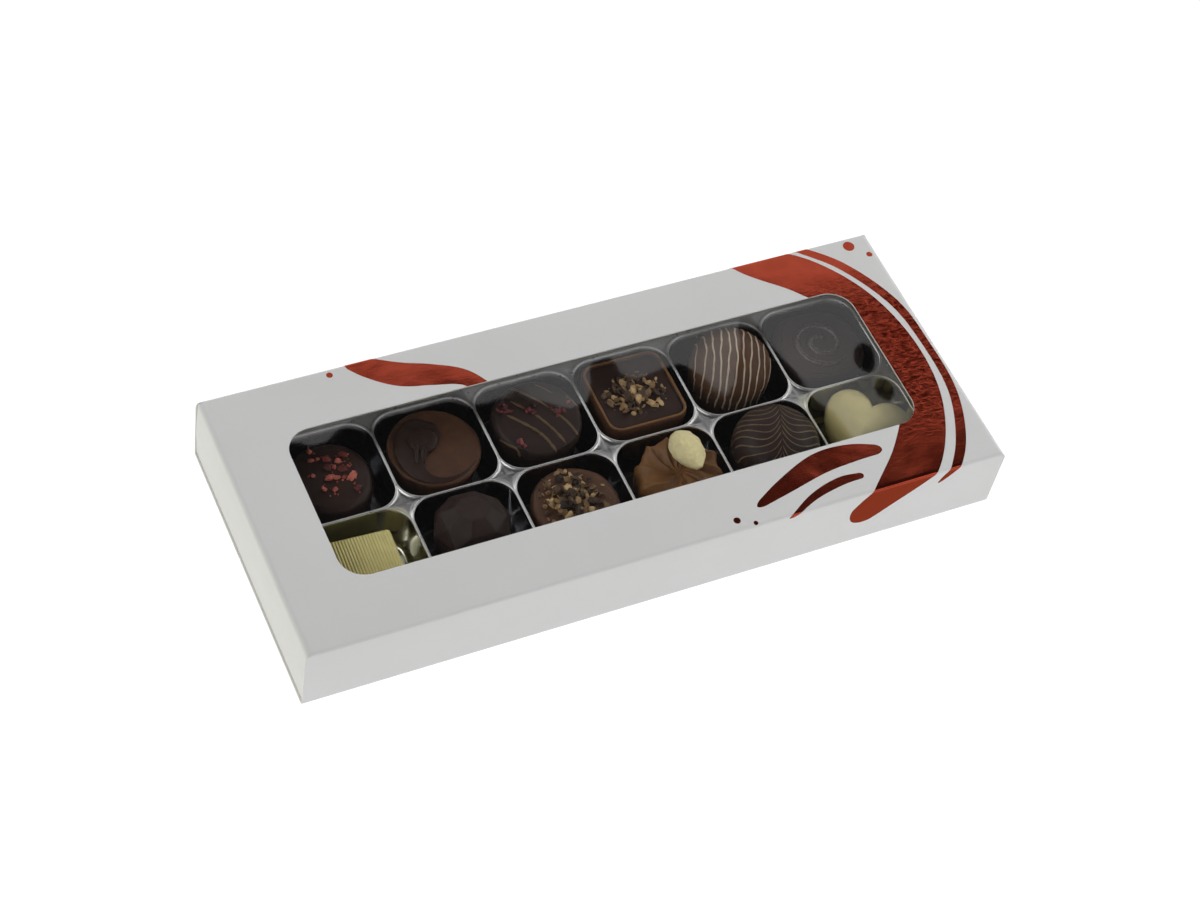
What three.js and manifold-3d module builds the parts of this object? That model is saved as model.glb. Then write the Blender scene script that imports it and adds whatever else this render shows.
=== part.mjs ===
// A box of chocolate pralines, shut: a white folding carton with a clear film window in its top, over a
// silver tray of two rows of six cells, with one praline in each cell. Millimetres, +Z up. The origin is
// the middle of the carton's bottom, +X runs along its length and +Y to its back.

import * as THREE from "three";
import { mergeVertices } from "three/addons/utils/BufferGeometryUtils.js";
import Module from "manifold-3d";

const wasm = await Module();
wasm.setup();

// Carton: a tube of board along X, shut by a flap at each end
const CARTON_LENGTH = 225;
const CARTON_WIDTH = 93;
const CARTON_HEIGHT = 25;
const BOARD = 0.5;
const FOLD_RADIUS = 1.1;
const SLIT = 0.3;
const FLAP_FOLD_RADIUS = 1.6;
const FLAP_INSET = 0.55;
const FLAP_BULGE = 0.45;
const TONGUE_LENGTH = 10;
const TONGUE_LIFT = 0.35;

// Window in the top panel, and the film glued under it
const WINDOW_LENGTH = 187;
const WINDOW_WIDTH = 54;
const WINDOW_RADIUS = 8;
const WINDOW_X = 0.5;
const WINDOW_Y = 0.5;
const FILM_LAP = 5;
const FILM_THICKNESS = 0.25;
const GAP = 0.3;

// Tray: cells a little out of the carton's middle, walls leaning out to the rim
const COLUMNS = 6;
const PITCH = 32.6;
const CELL_OPENING = 31.8;
const CELL_FLOOR_WIDTH = 29.8;
const CELL_RADIUS = 7.5;
const CORNER_STEPS = 2;
const RIM_Z = 16;
const LAND_DROP = 0.5;
const SHEET = 0.45;
const TRAY_X = 0.45;
const TRAY_Y = -0.5;
const TRAY_LENGTH = 220;
const TRAY_WIDTH = 90;
const TRAY_BOTTOM = BOARD + 0.4;
const FLOOR_Z = TRAY_BOTTOM + SHEET;
const STAND_Z = FLOOR_Z + GAP;

// Colours
const WHITE_BOARD = { color: 0xd9d9d8, roughness: 0.45, metalness: 0 };
const CLEAR_FILM = { color: 0xe8ecee, roughness: 0.05, metalness: 0 };
const SILVER = { color: 0xc9c9c4, roughness: 0.18, metalness: 1 };
const DARK = { color: 0x2c1a13, roughness: 0.4, metalness: 0 };
const MILK = { color: 0x6b4326, roughness: 0.45, metalness: 0 };
const IVORY = { color: 0xe6d9a4, roughness: 0.5, metalness: 0 };
const ALMOND = { color: 0xe0d394, roughness: 0.6, metalness: 0 };

const TURN = 2 * Math.PI;

// A fixed stream of numbers from 0 to 1
function stream(seed) {
  let state = seed;
  return () => {
    state = (Math.imul(state, 1664525) + 1013904223) >>> 0;
    return state / 4294967296;
  };
}

function lerp(a, b, t) {
  return a + (b - a) * t;
}

function smooth(t) {
  const s = Math.min(1, Math.max(0, t));
  return s * s * (3 - 2 * s);
}

// Joining and cutting closed solids
function solidOf(geometry) {
  const bare = geometry.clone();
  bare.deleteAttribute("normal");
  bare.deleteAttribute("uv");
  const merged = mergeVertices(bare, 1e-4);
  const vertProperties = new Float32Array(merged.attributes.position.array);
  const triVerts = new Uint32Array(merged.index.array);
  return new wasm.Manifold(new wasm.Mesh({ numProp: 3, vertProperties, triVerts }));
}

function geometryOf(solid) {
  const mesh = solid.getMesh();
  const geometry = new THREE.BufferGeometry();
  geometry.setAttribute("position", new THREE.BufferAttribute(mesh.vertProperties, 3));
  geometry.setIndex(new THREE.BufferAttribute(mesh.triVerts, 1));
  geometry.computeVertexNormals();
  return geometry;
}

// The base with every addition joined to it, without scraps that the joins cut loose
function fused(base, additions) {
  let whole = solidOf(base);
  for (const addition of additions) {
    whole = whole.add(solidOf(addition));
  }
  const pieces = whole.decompose();
  pieces.sort((a, b) => b.volume() - a.volume());
  return geometryOf(pieces[0]);
}

// A closed skin through rings of equally many points, each ring turning left about the way it travels
function loft(rings) {
  const count = rings[0].length;
  const positions = [];
  const index = [];
  for (const ring of rings) {
    for (const point of ring) {
      positions.push(point.x, point.y, point.z);
    }
  }
  for (let k = 0; k + 1 < rings.length; k += 1) {
    for (let i = 0; i < count; i += 1) {
      const here = k * count + i;
      const next = k * count + ((i + 1) % count);
      index.push(here, next, next + count, here, next + count, here + count);
    }
  }
  for (const [k, start] of [[0, rings[0]], [rings.length - 1, rings[rings.length - 1]]]) {
    const middle = start.reduce((sum, point) => sum.add(point), new THREE.Vector3());
    middle.divideScalar(count);
    const apex = positions.length / 3;
    positions.push(middle.x, middle.y, middle.z);
    for (let i = 0; i < count; i += 1) {
      const here = k * count + i;
      const next = k * count + ((i + 1) % count);
      index.push(apex, k === 0 ? next : here, k === 0 ? here : next);
    }
  }
  const geometry = new THREE.BufferGeometry();
  geometry.setAttribute("position", new THREE.Float32BufferAttribute(positions, 3));
  geometry.setIndex(index);
  return geometry;
}

// Outlines seen from above, anticlockwise
function roundedRectangle(width, depth, radius, steps) {
  const points = [];
  for (let corner = 0; corner < 4; corner += 1) {
    const sideX = corner === 0 || corner === 3 ? 1 : -1;
    const sideY = corner < 2 ? 1 : -1;
    for (let i = 0; i <= steps; i += 1) {
      const angle = ((corner + i / steps) * Math.PI) / 2;
      const x = sideX * (width / 2 - radius) + radius * Math.cos(angle);
      const y = sideY * (depth / 2 - radius) + radius * Math.sin(angle);
      points.push(new THREE.Vector2(x, y));
    }
  }
  return points;
}

function superEllipse(radius, power, count) {
  const points = [];
  for (let i = 0; i < count; i += 1) {
    const angle = (TURN * i) / count;
    const c = Math.cos(angle);
    const s = Math.sin(angle);
    const reach = radius / (Math.abs(c) ** power + Math.abs(s) ** power) ** (1 / power);
    points.push(new THREE.Vector2(reach * c, reach * s));
  }
  return points;
}

function level(outline, z) {
  return outline.map((point) => new THREE.Vector3(point.x, point.y, z));
}

// A solid of revolution about Z, its profile given as [radius, height] from the bottom to the top
function turned(profile, segments) {
  const points = profile.map(([radius, height]) => new THREE.Vector2(radius, height));
  const geometry = new THREE.LatheGeometry(points, segments);
  return geometry.rotateX(Math.PI / 2);
}

// A strand of chocolate along a smooth curve
function strand(points, radius, steps, sides) {
  const section = new THREE.Shape(
    superEllipse(radius, 2, sides).map((point) => new THREE.Vector2(point.x, point.y)),
  );
  const path = new THREE.CatmullRomCurve3(points);
  return new THREE.ExtrudeGeometry(section, { steps, bevelEnabled: false, extrudePath: path });
}

// An irregular crumb of about the given length, like a chip broken off a nut
function crumb(random, length, place) {
  const width = length * lerp(0.6, 0.85, random());
  const height = length * lerp(0.5, 0.65, random());
  const geometry = new THREE.BoxGeometry(length, width, height);
  const moved = new Map();
  const corners = geometry.attributes.position;
  for (let i = 0; i < corners.count; i += 1) {
    const key = [corners.getX(i) > 0, corners.getY(i) > 0, corners.getZ(i) > 0].join();
    if (!moved.has(key)) {
      moved.set(key, [random(), random(), random()].map((share) => lerp(0.45, 1, share)));
    }
    const [x, y, z] = moved.get(key);
    corners.setXYZ(i, corners.getX(i) * x, corners.getY(i) * y, corners.getZ(i) * z);
  }
  geometry.rotateX(lerp(-0.5, 0.5, random()));
  geometry.rotateY(lerp(-0.5, 0.5, random()));
  geometry.rotateZ(TURN * random());
  geometry.translate(place.x, place.y, place.z);
  return geometry;
}

// Places at least apart from each other, more of them near the middle
function scatter(random, count, reach, apart) {
  const places = [];
  for (let tries = 0; tries < count * 60 && places.length < count; tries += 1) {
    const radius = reach * random() ** 0.75;
    const angle = TURN * random();
    const place = new THREE.Vector2(radius * Math.cos(angle), radius * Math.sin(angle));
    if (places.every((other) => other.distanceTo(place) > apart)) {
      places.push(place);
    }
  }
  return places;
}

// Carton tube: the board's four panels round the length, with the window cut and room for the flaps
function cartonTube() {
  const outer = roundedRectangle(CARTON_WIDTH, CARTON_HEIGHT, FOLD_RADIUS, 4);
  const inner = roundedRectangle(
    CARTON_WIDTH - 2 * BOARD,
    CARTON_HEIGHT - 2 * BOARD,
    FOLD_RADIUS - BOARD,
    4,
  );
  const section = new THREE.Shape(outer);
  section.holes.push(new THREE.Path(inner));
  const tube = new THREE.ExtrudeGeometry(section, { depth: CARTON_LENGTH, bevelEnabled: false });
  tube.rotateX(Math.PI / 2);
  tube.rotateZ(Math.PI / 2);
  tube.translate(-CARTON_LENGTH / 2, 0, CARTON_HEIGHT / 2);
  return solidOf(tube);
}

function windowCutter() {
  const outline = roundedRectangle(WINDOW_LENGTH, WINDOW_WIDTH, WINDOW_RADIUS, 6);
  const cutter = new THREE.ExtrudeGeometry(new THREE.Shape(outline), {
    depth: 4 * BOARD,
    bevelEnabled: false,
  });
  cutter.translate(WINDOW_X, WINDOW_Y, CARTON_HEIGHT - 2 * BOARD);
  return solidOf(cutter);
}

// End flap: hinged on the top panel, bulged a little, its tongue tucked in over the bottom panel
function flapPath() {
  const wallX = CARTON_LENGTH / 2 - FLAP_INSET - BOARD / 2;
  const topZ = CARTON_HEIGHT - BOARD / 2;
  const tongueZ = BOARD * 1.5 + TONGUE_LIFT;
  const radius = FLAP_FOLD_RADIUS;
  const path = [new THREE.Vector2(wallX - radius - 1, topZ)];
  for (let i = 0; i <= 4; i += 1) {
    const angle = ((1 - i / 4) * Math.PI) / 2;
    path.push(
      new THREE.Vector2(wallX - radius + radius * Math.cos(angle), topZ - radius + radius * Math.sin(angle)),
    );
  }
  const wallTop = topZ - radius;
  const wallBottom = tongueZ + radius;
  for (let i = 1; i < 6; i += 1) {
    const along = i / 6;
    const bulge = FLAP_BULGE * Math.sin(Math.PI * along);
    path.push(new THREE.Vector2(wallX + bulge, lerp(wallTop, wallBottom, along)));
  }
  for (let i = 0; i <= 4; i += 1) {
    const angle = (-i / 4) * (Math.PI / 2);
    path.push(
      new THREE.Vector2(wallX - radius + radius * Math.cos(angle), wallBottom + radius * Math.sin(angle)),
    );
  }
  path.push(new THREE.Vector2(wallX - radius - TONGUE_LENGTH, tongueZ));
  return path;
}

function endFlap() {
  const path = flapPath();
  const outside = [];
  const inside = [];
  path.forEach((point, i) => {
    const before = path[Math.max(0, i - 1)];
    const after = path[Math.min(path.length - 1, i + 1)];
    const along = after.clone().sub(before).normalize();
    const normal = new THREE.Vector2(-along.y, along.x).multiplyScalar(BOARD / 2);
    outside.push(point.clone().add(normal));
    inside.push(point.clone().sub(normal));
  });
  const outline = inside.concat(outside.reverse());
  const width = CARTON_WIDTH - 2 * BOARD - 2 * SLIT;
  const flap = new THREE.ExtrudeGeometry(new THREE.Shape(outline), { depth: width, bevelEnabled: false });
  flap.rotateX(Math.PI / 2);
  flap.translate(0, width / 2, 0);
  return flap;
}

function flapRoom(side) {
  const width = CARTON_WIDTH - 2 * BOARD;
  const length = FLAP_INSET + BOARD + FLAP_FOLD_RADIUS;
  const room = new THREE.BoxGeometry(2 * length, width, 4 * BOARD);
  room.translate((side * CARTON_LENGTH) / 2, 0, CARTON_HEIGHT);
  return solidOf(room);
}

function carton() {
  let board = cartonTube().subtract(windowCutter());
  for (const side of [-1, 1]) {
    const flap = endFlap();
    if (side < 0) {
      flap.rotateZ(Math.PI);
    }
    board = board.subtract(flapRoom(side)).add(solidOf(flap));
  }
  return geometryOf(board);
}

function windowFilm() {
  const outline = roundedRectangle(WINDOW_LENGTH + 2 * FILM_LAP, WINDOW_WIDTH + 2 * FILM_LAP, 1.5, 2);
  const top = CARTON_HEIGHT - BOARD - GAP;
  const film = loft([level(outline, top - FILM_THICKNESS), level(outline, top)]);
  return film.translate(WINDOW_X, WINDOW_Y, 0);
}

// Tray
function cellPlace(row, column) {
  const x = TRAY_X + (column - (COLUMNS - 1) / 2) * PITCH;
  const y = TRAY_Y + (row === "back" ? PITCH / 2 : -PITCH / 2);
  return new THREE.Vector2(x, y);
}

// The cell's own hollow, or, with the sheet added, the outside of the sheet that forms it
function cellForm(sheet) {
  const ring = (width, z) => {
    const side = width + 2 * sheet;
    return level(roundedRectangle(side, side, CELL_RADIUS, CORNER_STEPS), z);
  };
  const floor = FLOOR_Z - sheet;
  const top = sheet > 0 ? RIM_Z : RIM_Z + 1;
  const rise = (CELL_OPENING - CELL_FLOOR_WIDTH) / (RIM_Z - FLOOR_Z);
  const topWidth = CELL_OPENING + (top - RIM_Z) * rise;
  return loft([ring(CELL_FLOOR_WIDTH, floor), ring(topWidth, top)]);
}

function tray() {
  const outline = roundedRectangle(TRAY_LENGTH, TRAY_WIDTH, 4, 3);
  const landTop = RIM_Z - LAND_DROP;
  let sheet = solidOf(
    loft([level(outline, landTop - SHEET), level(outline, landTop)]).translate(TRAY_X, TRAY_Y, 0),
  );
  for (const [thickness, operation] of [[SHEET, "add"], [0, "subtract"]]) {
    for (const row of ["back", "front"]) {
      for (let column = 0; column < COLUMNS; column += 1) {
        const place = cellPlace(row, column);
        sheet = sheet[operation](solidOf(cellForm(thickness).translate(place.x, place.y, 0)));
      }
    }
  }
  return geometryOf(sheet);
}

// Back row, 1: a dark low dome with chunks of dried raspberry
const DOME_TOP = 14.5;

function lowDomeHeight(radius) {
  return DOME_TOP - 1.9 * (radius / 12) ** 3;
}

function raspberryPraline() {
  const profile = [[0, STAND_Z], [12.3, STAND_Z], [13, STAND_Z + 0.8], [13.1, 9.4], [12.8, 11.4]];
  for (const radius of [12, 9.6, 6, 0]) {
    profile.push([radius, lowDomeHeight(radius)]);
  }
  const random = stream(11);
  const places = scatter(random, 17, 8.6, 2.5);
  const chunks = places.map((place) => {
    const spot = new THREE.Vector2(place.x + 0.9, place.y + 1.2);
    const z = lowDomeHeight(spot.length()) + 0.35;
    return crumb(random, lerp(2.2, 4, random()), new THREE.Vector3(spot.x, spot.y, z));
  });
  return fused(turned(profile, 28), chunks);
}

// Back row, 2: a milk cup with a flat top, and a piped dark comma with a curled head lying on it
const CUP_TOP = 13.9;
const COMMA_RADIUS = 13;
const COMMA_THICKNESS = 0.6;
const HEAD_RADIUS = 4.3;

function cupPraline() {
  const profile = [
    [0, STAND_Z], [12.2, STAND_Z], [12.9, STAND_Z + 0.8], [14.1, 12], [14.1, 13.2], [13.5, CUP_TOP],
    [0, CUP_TOP],
  ];
  return turned(profile, 30);
}

// The comma's width where it is the given angle behind its thin end
function commaWidth(angle) {
  const swelling = 0.4 + 7 * smooth((angle - 0.7) / 1.8);
  return swelling - 4 * smooth((angle - 3.7) / 1);
}

function darkComma() {
  const bottom = CUP_TOP + GAP;
  const top = bottom + COMMA_THICKNESS;
  const steps = 15;
  const section = [[0, 0], [0.15, 0.85], [0.5, 1], [0.85, 0.85], [1, 0]];
  const rings = [];
  for (let i = 0; i <= steps; i += 1) {
    const passed = (4.7 * i) / steps;
    const angle = -0.3 - passed;
    rings.push(
      section.map(([across, up]) => {
        const radius = COMMA_RADIUS - commaWidth(passed) * across;
        const x = 0.9 + radius * Math.cos(angle);
        const y = -0.7 + radius * Math.sin(angle);
        return new THREE.Vector3(x, y, bottom + COMMA_THICKNESS * up);
      }),
    );
  }
  const headProfile = [
    [0, bottom + 0.05], [HEAD_RADIUS - 0.4, bottom + 0.05], [HEAD_RADIUS, bottom + 0.8],
    [HEAD_RADIUS - 0.7, top + 1.1], [2.4, top + 1.4], [0, top + 1],
  ];
  const head = turned(headProfile, 14).translate(-1.9, 4.6, 0);
  const neck = turned(headProfile.slice(0, 3).concat([[0, top + 0.1]]), 10).translate(-4.6, 1.6, 0);
  const curl = [];
  for (let i = 0; i <= 8; i += 1) {
    const angle = lerp(-2.2, 3.3, i / 8);
    const radius = lerp(3.2, 1.6, i / 8);
    curl.push(new THREE.Vector3(radius * Math.cos(angle) - 1.9, radius * Math.sin(angle) + 4.6, top + 1.25));
  }
  const drips = [-4.4, -3.1].map((x, i) => {
    const reach = -3.2 - 1.4 * i;
    const points = [[x, 2.2, 0.6], [x + 0.1, 0, 0.3], [x + 0.2, reach, -0.05]];
    return strand(points.map(([px, py, up]) => new THREE.Vector3(px, py, top + up)), 0.55, 3, 4);
  });
  return fused(loft(rings), [neck, head, strand(curl, 0.5, 10, 4), ...drips]);
}

// Back row, 3: a dark drum with thin caramel lines and four spots of berry bits
const DRUM_TOP = 16.4;
const LINE_TURN = 0.48;

function drumHeight(radius) {
  return DRUM_TOP - 0.7 * (radius / 12) ** 2;
}

function drumLine(offset, reach) {
  const points = [];
  const across = new THREE.Vector2(Math.cos(LINE_TURN), Math.sin(LINE_TURN));
  const along = new THREE.Vector2(across.y, -across.x);
  for (let i = 0; i <= 6; i += 1) {
    const t = lerp(-reach, reach, i / 6);
    const spot = across.clone().multiplyScalar(offset + 0.3 * Math.sin(t)).addScaledVector(along, t);
    points.push(new THREE.Vector3(spot.x, spot.y, drumHeight(spot.length()) + 0.08));
  }
  return strand(points, 0.42, 6, 3);
}

function drumPraline() {
  const profile = [
    [0, STAND_Z], [12, STAND_Z], [12.7, STAND_Z + 0.8], [13.5, 11.5], [13.3, 14], [12.8, 15.2],
  ];
  for (const radius of [12, 8, 0]) {
    profile.push([radius, drumHeight(radius)]);
  }
  const lines = [[-10.4, 4.5], [-4.8, 10.6], [0.2, 11.4], [4.9, 10.6], [9.8, 6]].map(([offset, reach]) => {
    return drumLine(offset, reach);
  });
  const random = stream(23);
  const bits = [];
  for (const [x, y] of [[-8.4, 5.8], [-2, 3.7], [7.2, 1.3], [-7.8, -6.4]]) {
    for (let i = 0; i < 2; i += 1) {
      const spot = new THREE.Vector2(x + lerp(-1.3, 1.3, random()), y + lerp(-1.3, 1.3, random()));
      const place = new THREE.Vector3(spot.x, spot.y, drumHeight(spot.length()) + 0.25);
      bits.push(crumb(random, lerp(1.5, 2.2, random()), place));
    }
  }
  return fused(turned(profile, 28), [...lines, ...bits]);
}

// Back row, 4: a square milk shell with a raised rim, round a dark top strewn with cacao nibs
const SHELL_WIDTH = 26.8;
const SHELL_TOP = 16.2;
const SHELL_RIM = 1.3;
const SHELL_FLOOR = SHELL_TOP - 2.2;
const INSET_GAP = 0.32;

function squareShell() {
  const steps = 3;
  const inner = SHELL_WIDTH - 2 * SHELL_RIM;
  return loft([
    level(roundedRectangle(24, 24, 3.6, steps), STAND_Z),
    level(roundedRectangle(25.2, 25.2, 4, steps), STAND_Z + 0.7),
    level(roundedRectangle(SHELL_WIDTH, SHELL_WIDTH, 4.2, steps), SHELL_TOP - 1),
    level(roundedRectangle(SHELL_WIDTH - 0.6, SHELL_WIDTH - 0.6, 4, steps), SHELL_TOP - 0.15),
    level(roundedRectangle(inner + 1, inner + 1, 3.4, steps), SHELL_TOP),
    level(roundedRectangle(inner + 0.2, inner + 0.2, 3.1, steps), SHELL_TOP - 0.5),
    level(roundedRectangle(inner, inner, 3, steps), SHELL_FLOOR),
  ]);
}

function darkInset() {
  const width = SHELL_WIDTH - 2 * SHELL_RIM - 2 * INSET_GAP;
  const bottom = SHELL_FLOOR + GAP;
  const top = SHELL_TOP - 0.75;
  const base = loft([
    level(roundedRectangle(width, width, 3 - INSET_GAP, 3), bottom),
    level(roundedRectangle(width, width, 3 - INSET_GAP, 3), top),
  ]);
  const random = stream(31);
  const places = scatter(random, 22, 9, 2.3);
  const nibs = places.map((place) => {
    const spot = new THREE.Vector3(place.x * 1.05 - 0.9, place.y * 0.85 - 0.6, top + 0.35);
    return crumb(random, lerp(2, 3.2, random()), spot);
  });
  return fused(base, nibs);
}

// Back row, 5: a tall milk dome with thin wavy stripes
const TALL_TOP = 23.3;
const TALL_RADIUS = 12.8;
const TALL_CENTRE_Z = 13.2;
const DOME_POWER = 2.15;
const STRIPE_TURN = 0.42;

function capHeight(radius, reach, centreZ, top, power) {
  const share = 1 - Math.min(1, radius / reach) ** power;
  return centreZ + (top - centreZ) * share ** (1 / power);
}

function tallProfile(reach, base, centreZ, top, power) {
  const profile = [[0, STAND_Z], [base - 0.7, STAND_Z], [base, STAND_Z + 0.8], [reach * 0.985, centreZ - 4]];
  const steps = 5;
  for (let i = 0; i < steps; i += 1) {
    const radius = reach * Math.cos((i / steps) * (Math.PI / 2));
    profile.push([radius, capHeight(radius, reach, centreZ, top, power)]);
  }
  profile.push([0, top]);
  return profile;
}

function domeStripe(offset, phase) {
  const across = new THREE.Vector2(Math.cos(STRIPE_TURN), -Math.sin(STRIPE_TURN));
  const along = new THREE.Vector2(-across.y, across.x);
  const reach = Math.sqrt((TALL_RADIUS - 0.25) ** 2 - (Math.abs(offset) + 0.5) ** 2);
  const points = [];
  const steps = 7;
  for (let i = 0; i <= steps; i += 1) {
    const t = reach * Math.sin(lerp(-Math.PI / 2, Math.PI / 2, i / steps));
    const wave = 0.45 * Math.sin(0.42 * t + phase);
    const spot = across.clone().multiplyScalar(offset + wave).addScaledVector(along, t);
    const z = capHeight(spot.length(), TALL_RADIUS, TALL_CENTRE_Z, TALL_TOP, DOME_POWER);
    points.push(new THREE.Vector3(spot.x, spot.y, z));
  }
  return strand(points, 0.42, steps, 3);
}

function stripedDome() {
  const profile = tallProfile(TALL_RADIUS, 11.3, TALL_CENTRE_Z, TALL_TOP, DOME_POWER);
  const stripes = [];
  for (let i = 0; i < 10; i += 1) {
    stripes.push(domeStripe(-10.6 + i * 2.35, i * 1.7));
  }
  return fused(turned(profile, 24), stripes);
}

// Back row, 6: a large dark rounded square with a raised spiral curl
function curlPraline() {
  const count = 28;
  const sizes = [
    [12.4, STAND_Z], [13.1, STAND_Z + 0.8], [13.7, 10.4], [13.5, 12.6], [12.6, 13.9], [11, 14.4], [6, 14.8],
  ];
  const base = loft(sizes.map(([radius, z]) => level(superEllipse(radius, 2.7, count), z)));
  const curl = [];
  const steps = 22;
  for (let i = 0; i <= steps; i += 1) {
    const angle = 0.6 + (1.75 * TURN * i) / steps;
    const radius = lerp(1.1, 8.8, (i / steps) ** 0.8);
    curl.push(new THREE.Vector3(radius * Math.cos(angle), radius * Math.sin(angle), 14.72 - radius * 0.03));
  }
  return fused(base, [strand(curl, 0.6, steps, 4)]);
}

// Front row, 1: an ivory block with fine ridges from front to back
const RIDGES = 20;
const BLOCK = 22.2;
const BLOCK_TOP = 13.6;

function ridgedBlock() {
  const half = BLOCK / 2;
  const outline = [
    new THREE.Vector2(-half, STAND_Z + 0.8),
    new THREE.Vector2(-half + 0.7, STAND_Z),
    new THREE.Vector2(half - 0.7, STAND_Z),
    new THREE.Vector2(half, STAND_Z + 0.8),
  ];
  outline.push(new THREE.Vector2(half, BLOCK_TOP - 0.9));
  for (let i = RIDGES; i >= 0; i -= 1) {
    const x = lerp(-half + 0.6, half - 0.6, i / RIDGES);
    outline.push(new THREE.Vector2(x, BLOCK_TOP - 0.35));
    if (i > 0) {
      outline.push(new THREE.Vector2(x - (BLOCK - 1.2) / RIDGES / 2, BLOCK_TOP));
    }
  }
  outline.push(new THREE.Vector2(-half, BLOCK_TOP - 0.9));
  const block = new THREE.ExtrudeGeometry(new THREE.Shape(outline), {
    depth: BLOCK - 0.8,
    bevelEnabled: true,
    bevelSegments: 1,
    bevelSize: 0.25,
    bevelThickness: 0.4,
    bevelOffset: -0.25,
  });
  block.rotateX(Math.PI / 2);
  return block.translate(0, (BLOCK - 0.8) / 2, 0);
}

// Front row, 2: a dark cut gem with an octagonal table, leaning to the back
const GEM_SIDES = 8;
const GEM_TURN = 0.19;
const GEM_LEAN = 11;

function gemRing(radius, turn, z) {
  const ring = [];
  for (let i = 0; i < GEM_SIDES; i += 1) {
    const angle = GEM_TURN + (TURN * (i + turn)) / GEM_SIDES;
    ring.push(new THREE.Vector3(radius * Math.cos(angle), radius * Math.sin(angle), z));
  }
  return ring;
}

function gemPraline() {
  return loft([
    gemRing(10.8, 0.5, 0),
    gemRing(11.7, 0.5, 0.8),
    gemRing(12.1, 0.5, 11.4),
    gemRing(9.8, 0, 15.8),
    gemRing(5.2, 0, 18.2),
  ]);
}

// Front row, 3: a milk drum heaped with cacao nibs
function nibPraline() {
  const top = 14.4;
  const profile = [
    [0, STAND_Z], [12.2, STAND_Z], [12.9, STAND_Z + 0.8], [13.7, 10.8], [13.5, 13], [12.6, 14.1],
    [10.5, top], [0, top + 0.3],
  ];
  const random = stream(47);
  const places = scatter(random, 24, 10, 2.5);
  const nibs = places.map((place) => {
    const z = top + lerp(0.45, 0.15, place.length() / 10);
    return crumb(random, lerp(2, 3.2, random()), new THREE.Vector3(place.x - 0.8, place.y + 0.9, z));
  });
  return fused(turned(profile, 30), nibs);
}

// Front row, 4: a piped milk rosette with sharp ridges, carrying a coated almond
const ROSETTE_RIDGES = 10;
const ROSETTE_RADIUS = 13.6;

function rosette() {
  const perRidge = 4;
  const count = ROSETTE_RIDGES * perRidge;
  const crest = (i) => Math.abs(((i % perRidge) / perRidge) * 2 - 1) ** 1.3;
  const ring = (reach, z, relief, depth, twist) => {
    const points = [];
    for (let i = 0; i < count; i += 1) {
      const angle = (TURN * i) / count + twist;
      const radius = reach * (1 - depth * (1 - crest(i)));
      points.push(
        new THREE.Vector3(radius * Math.cos(angle), radius * Math.sin(angle), z + relief * (crest(i) - 0.5)),
      );
    }
    return points;
  };
  return loft([
    ring(11.6, STAND_Z, 0, 0.03, -0.1),
    ring(12.6, STAND_Z + 1.2, 0, 0.06, -0.08),
    ring(ROSETTE_RADIUS - 0.3, 10, 0, 0.13, 0),
    ring(ROSETTE_RADIUS, 14.8, 0.9, 0.15, 0.05),
    ring(12, 16, 1.6, 0.12, 0.14),
    ring(8.4, 16.1, 1.7, 0.1, 0.3),
    ring(4.2, 15.2, 1, 0.06, 0.55),
    ring(1.6, 14.6, 0.2, 0, 0.7),
  ]);
}

const ALMOND_Z = 20.3;

function coatedAlmond() {
  const length = 14.8;
  const width = 10.2;
  const thick = 6.4;
  const count = 14;
  const rings = [];
  const steps = 9;
  for (let k = 0; k <= steps; k += 1) {
    const along = k / steps;
    const t = lerp(0.04, 0.98, along);
    const swell = Math.sin(Math.PI * t ** 0.82) ** 0.62;
    const ring = [];
    for (let i = 0; i < count; i += 1) {
      const angle = (TURN * i) / count;
      const lump = 1 + 0.03 * Math.sin(3 * angle + 2.1 * k) + 0.02 * Math.sin(5 * angle - 1.3 * k);
      const x = (width / 2) * swell * lump * Math.cos(angle);
      const z = (thick / 2) * swell * lump * Math.sin(angle);
      ring.push(new THREE.Vector3(x, (0.5 - t) * length, z));
    }
    rings.push(ring);
  }
  return loft(rings);
}

// Front row, 5: a tall dark dome
const FEATHERED_RADIUS = 13.6;

function featheredDome() {
  return turned(tallProfile(FEATHERED_RADIUS, 11.8, 13.4, 23.3, 2.5), 30);
}

// Front row, 6: a puffed ivory heart
function heartOutline(width, count) {
  const unit = width / 32;
  const points = [];
  for (let i = 0; i < count; i += 1) {
    const t = (-TURN * i) / count;
    const x = 16 * Math.sin(t) ** 3;
    const y = 13 * Math.cos(t) - 5 * Math.cos(2 * t) - 2 * Math.cos(3 * t) - Math.cos(4 * t);
    points.push(new THREE.Vector2(x * unit, y * unit));
  }
  return points;
}

function heart() {
  const count = 36;
  const sizes = [
    [22.6, STAND_Z], [24.2, STAND_Z + 1.2], [26.4, 9], [26.2, 11.8], [24.8, 14.3], [21.4, 16.4],
    [15.6, 17.8], [8, 18.6], [2, 18.8],
  ];
  return loft(sizes.map(([width, z]) => level(heartOutline(width, count), z)));
}

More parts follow.
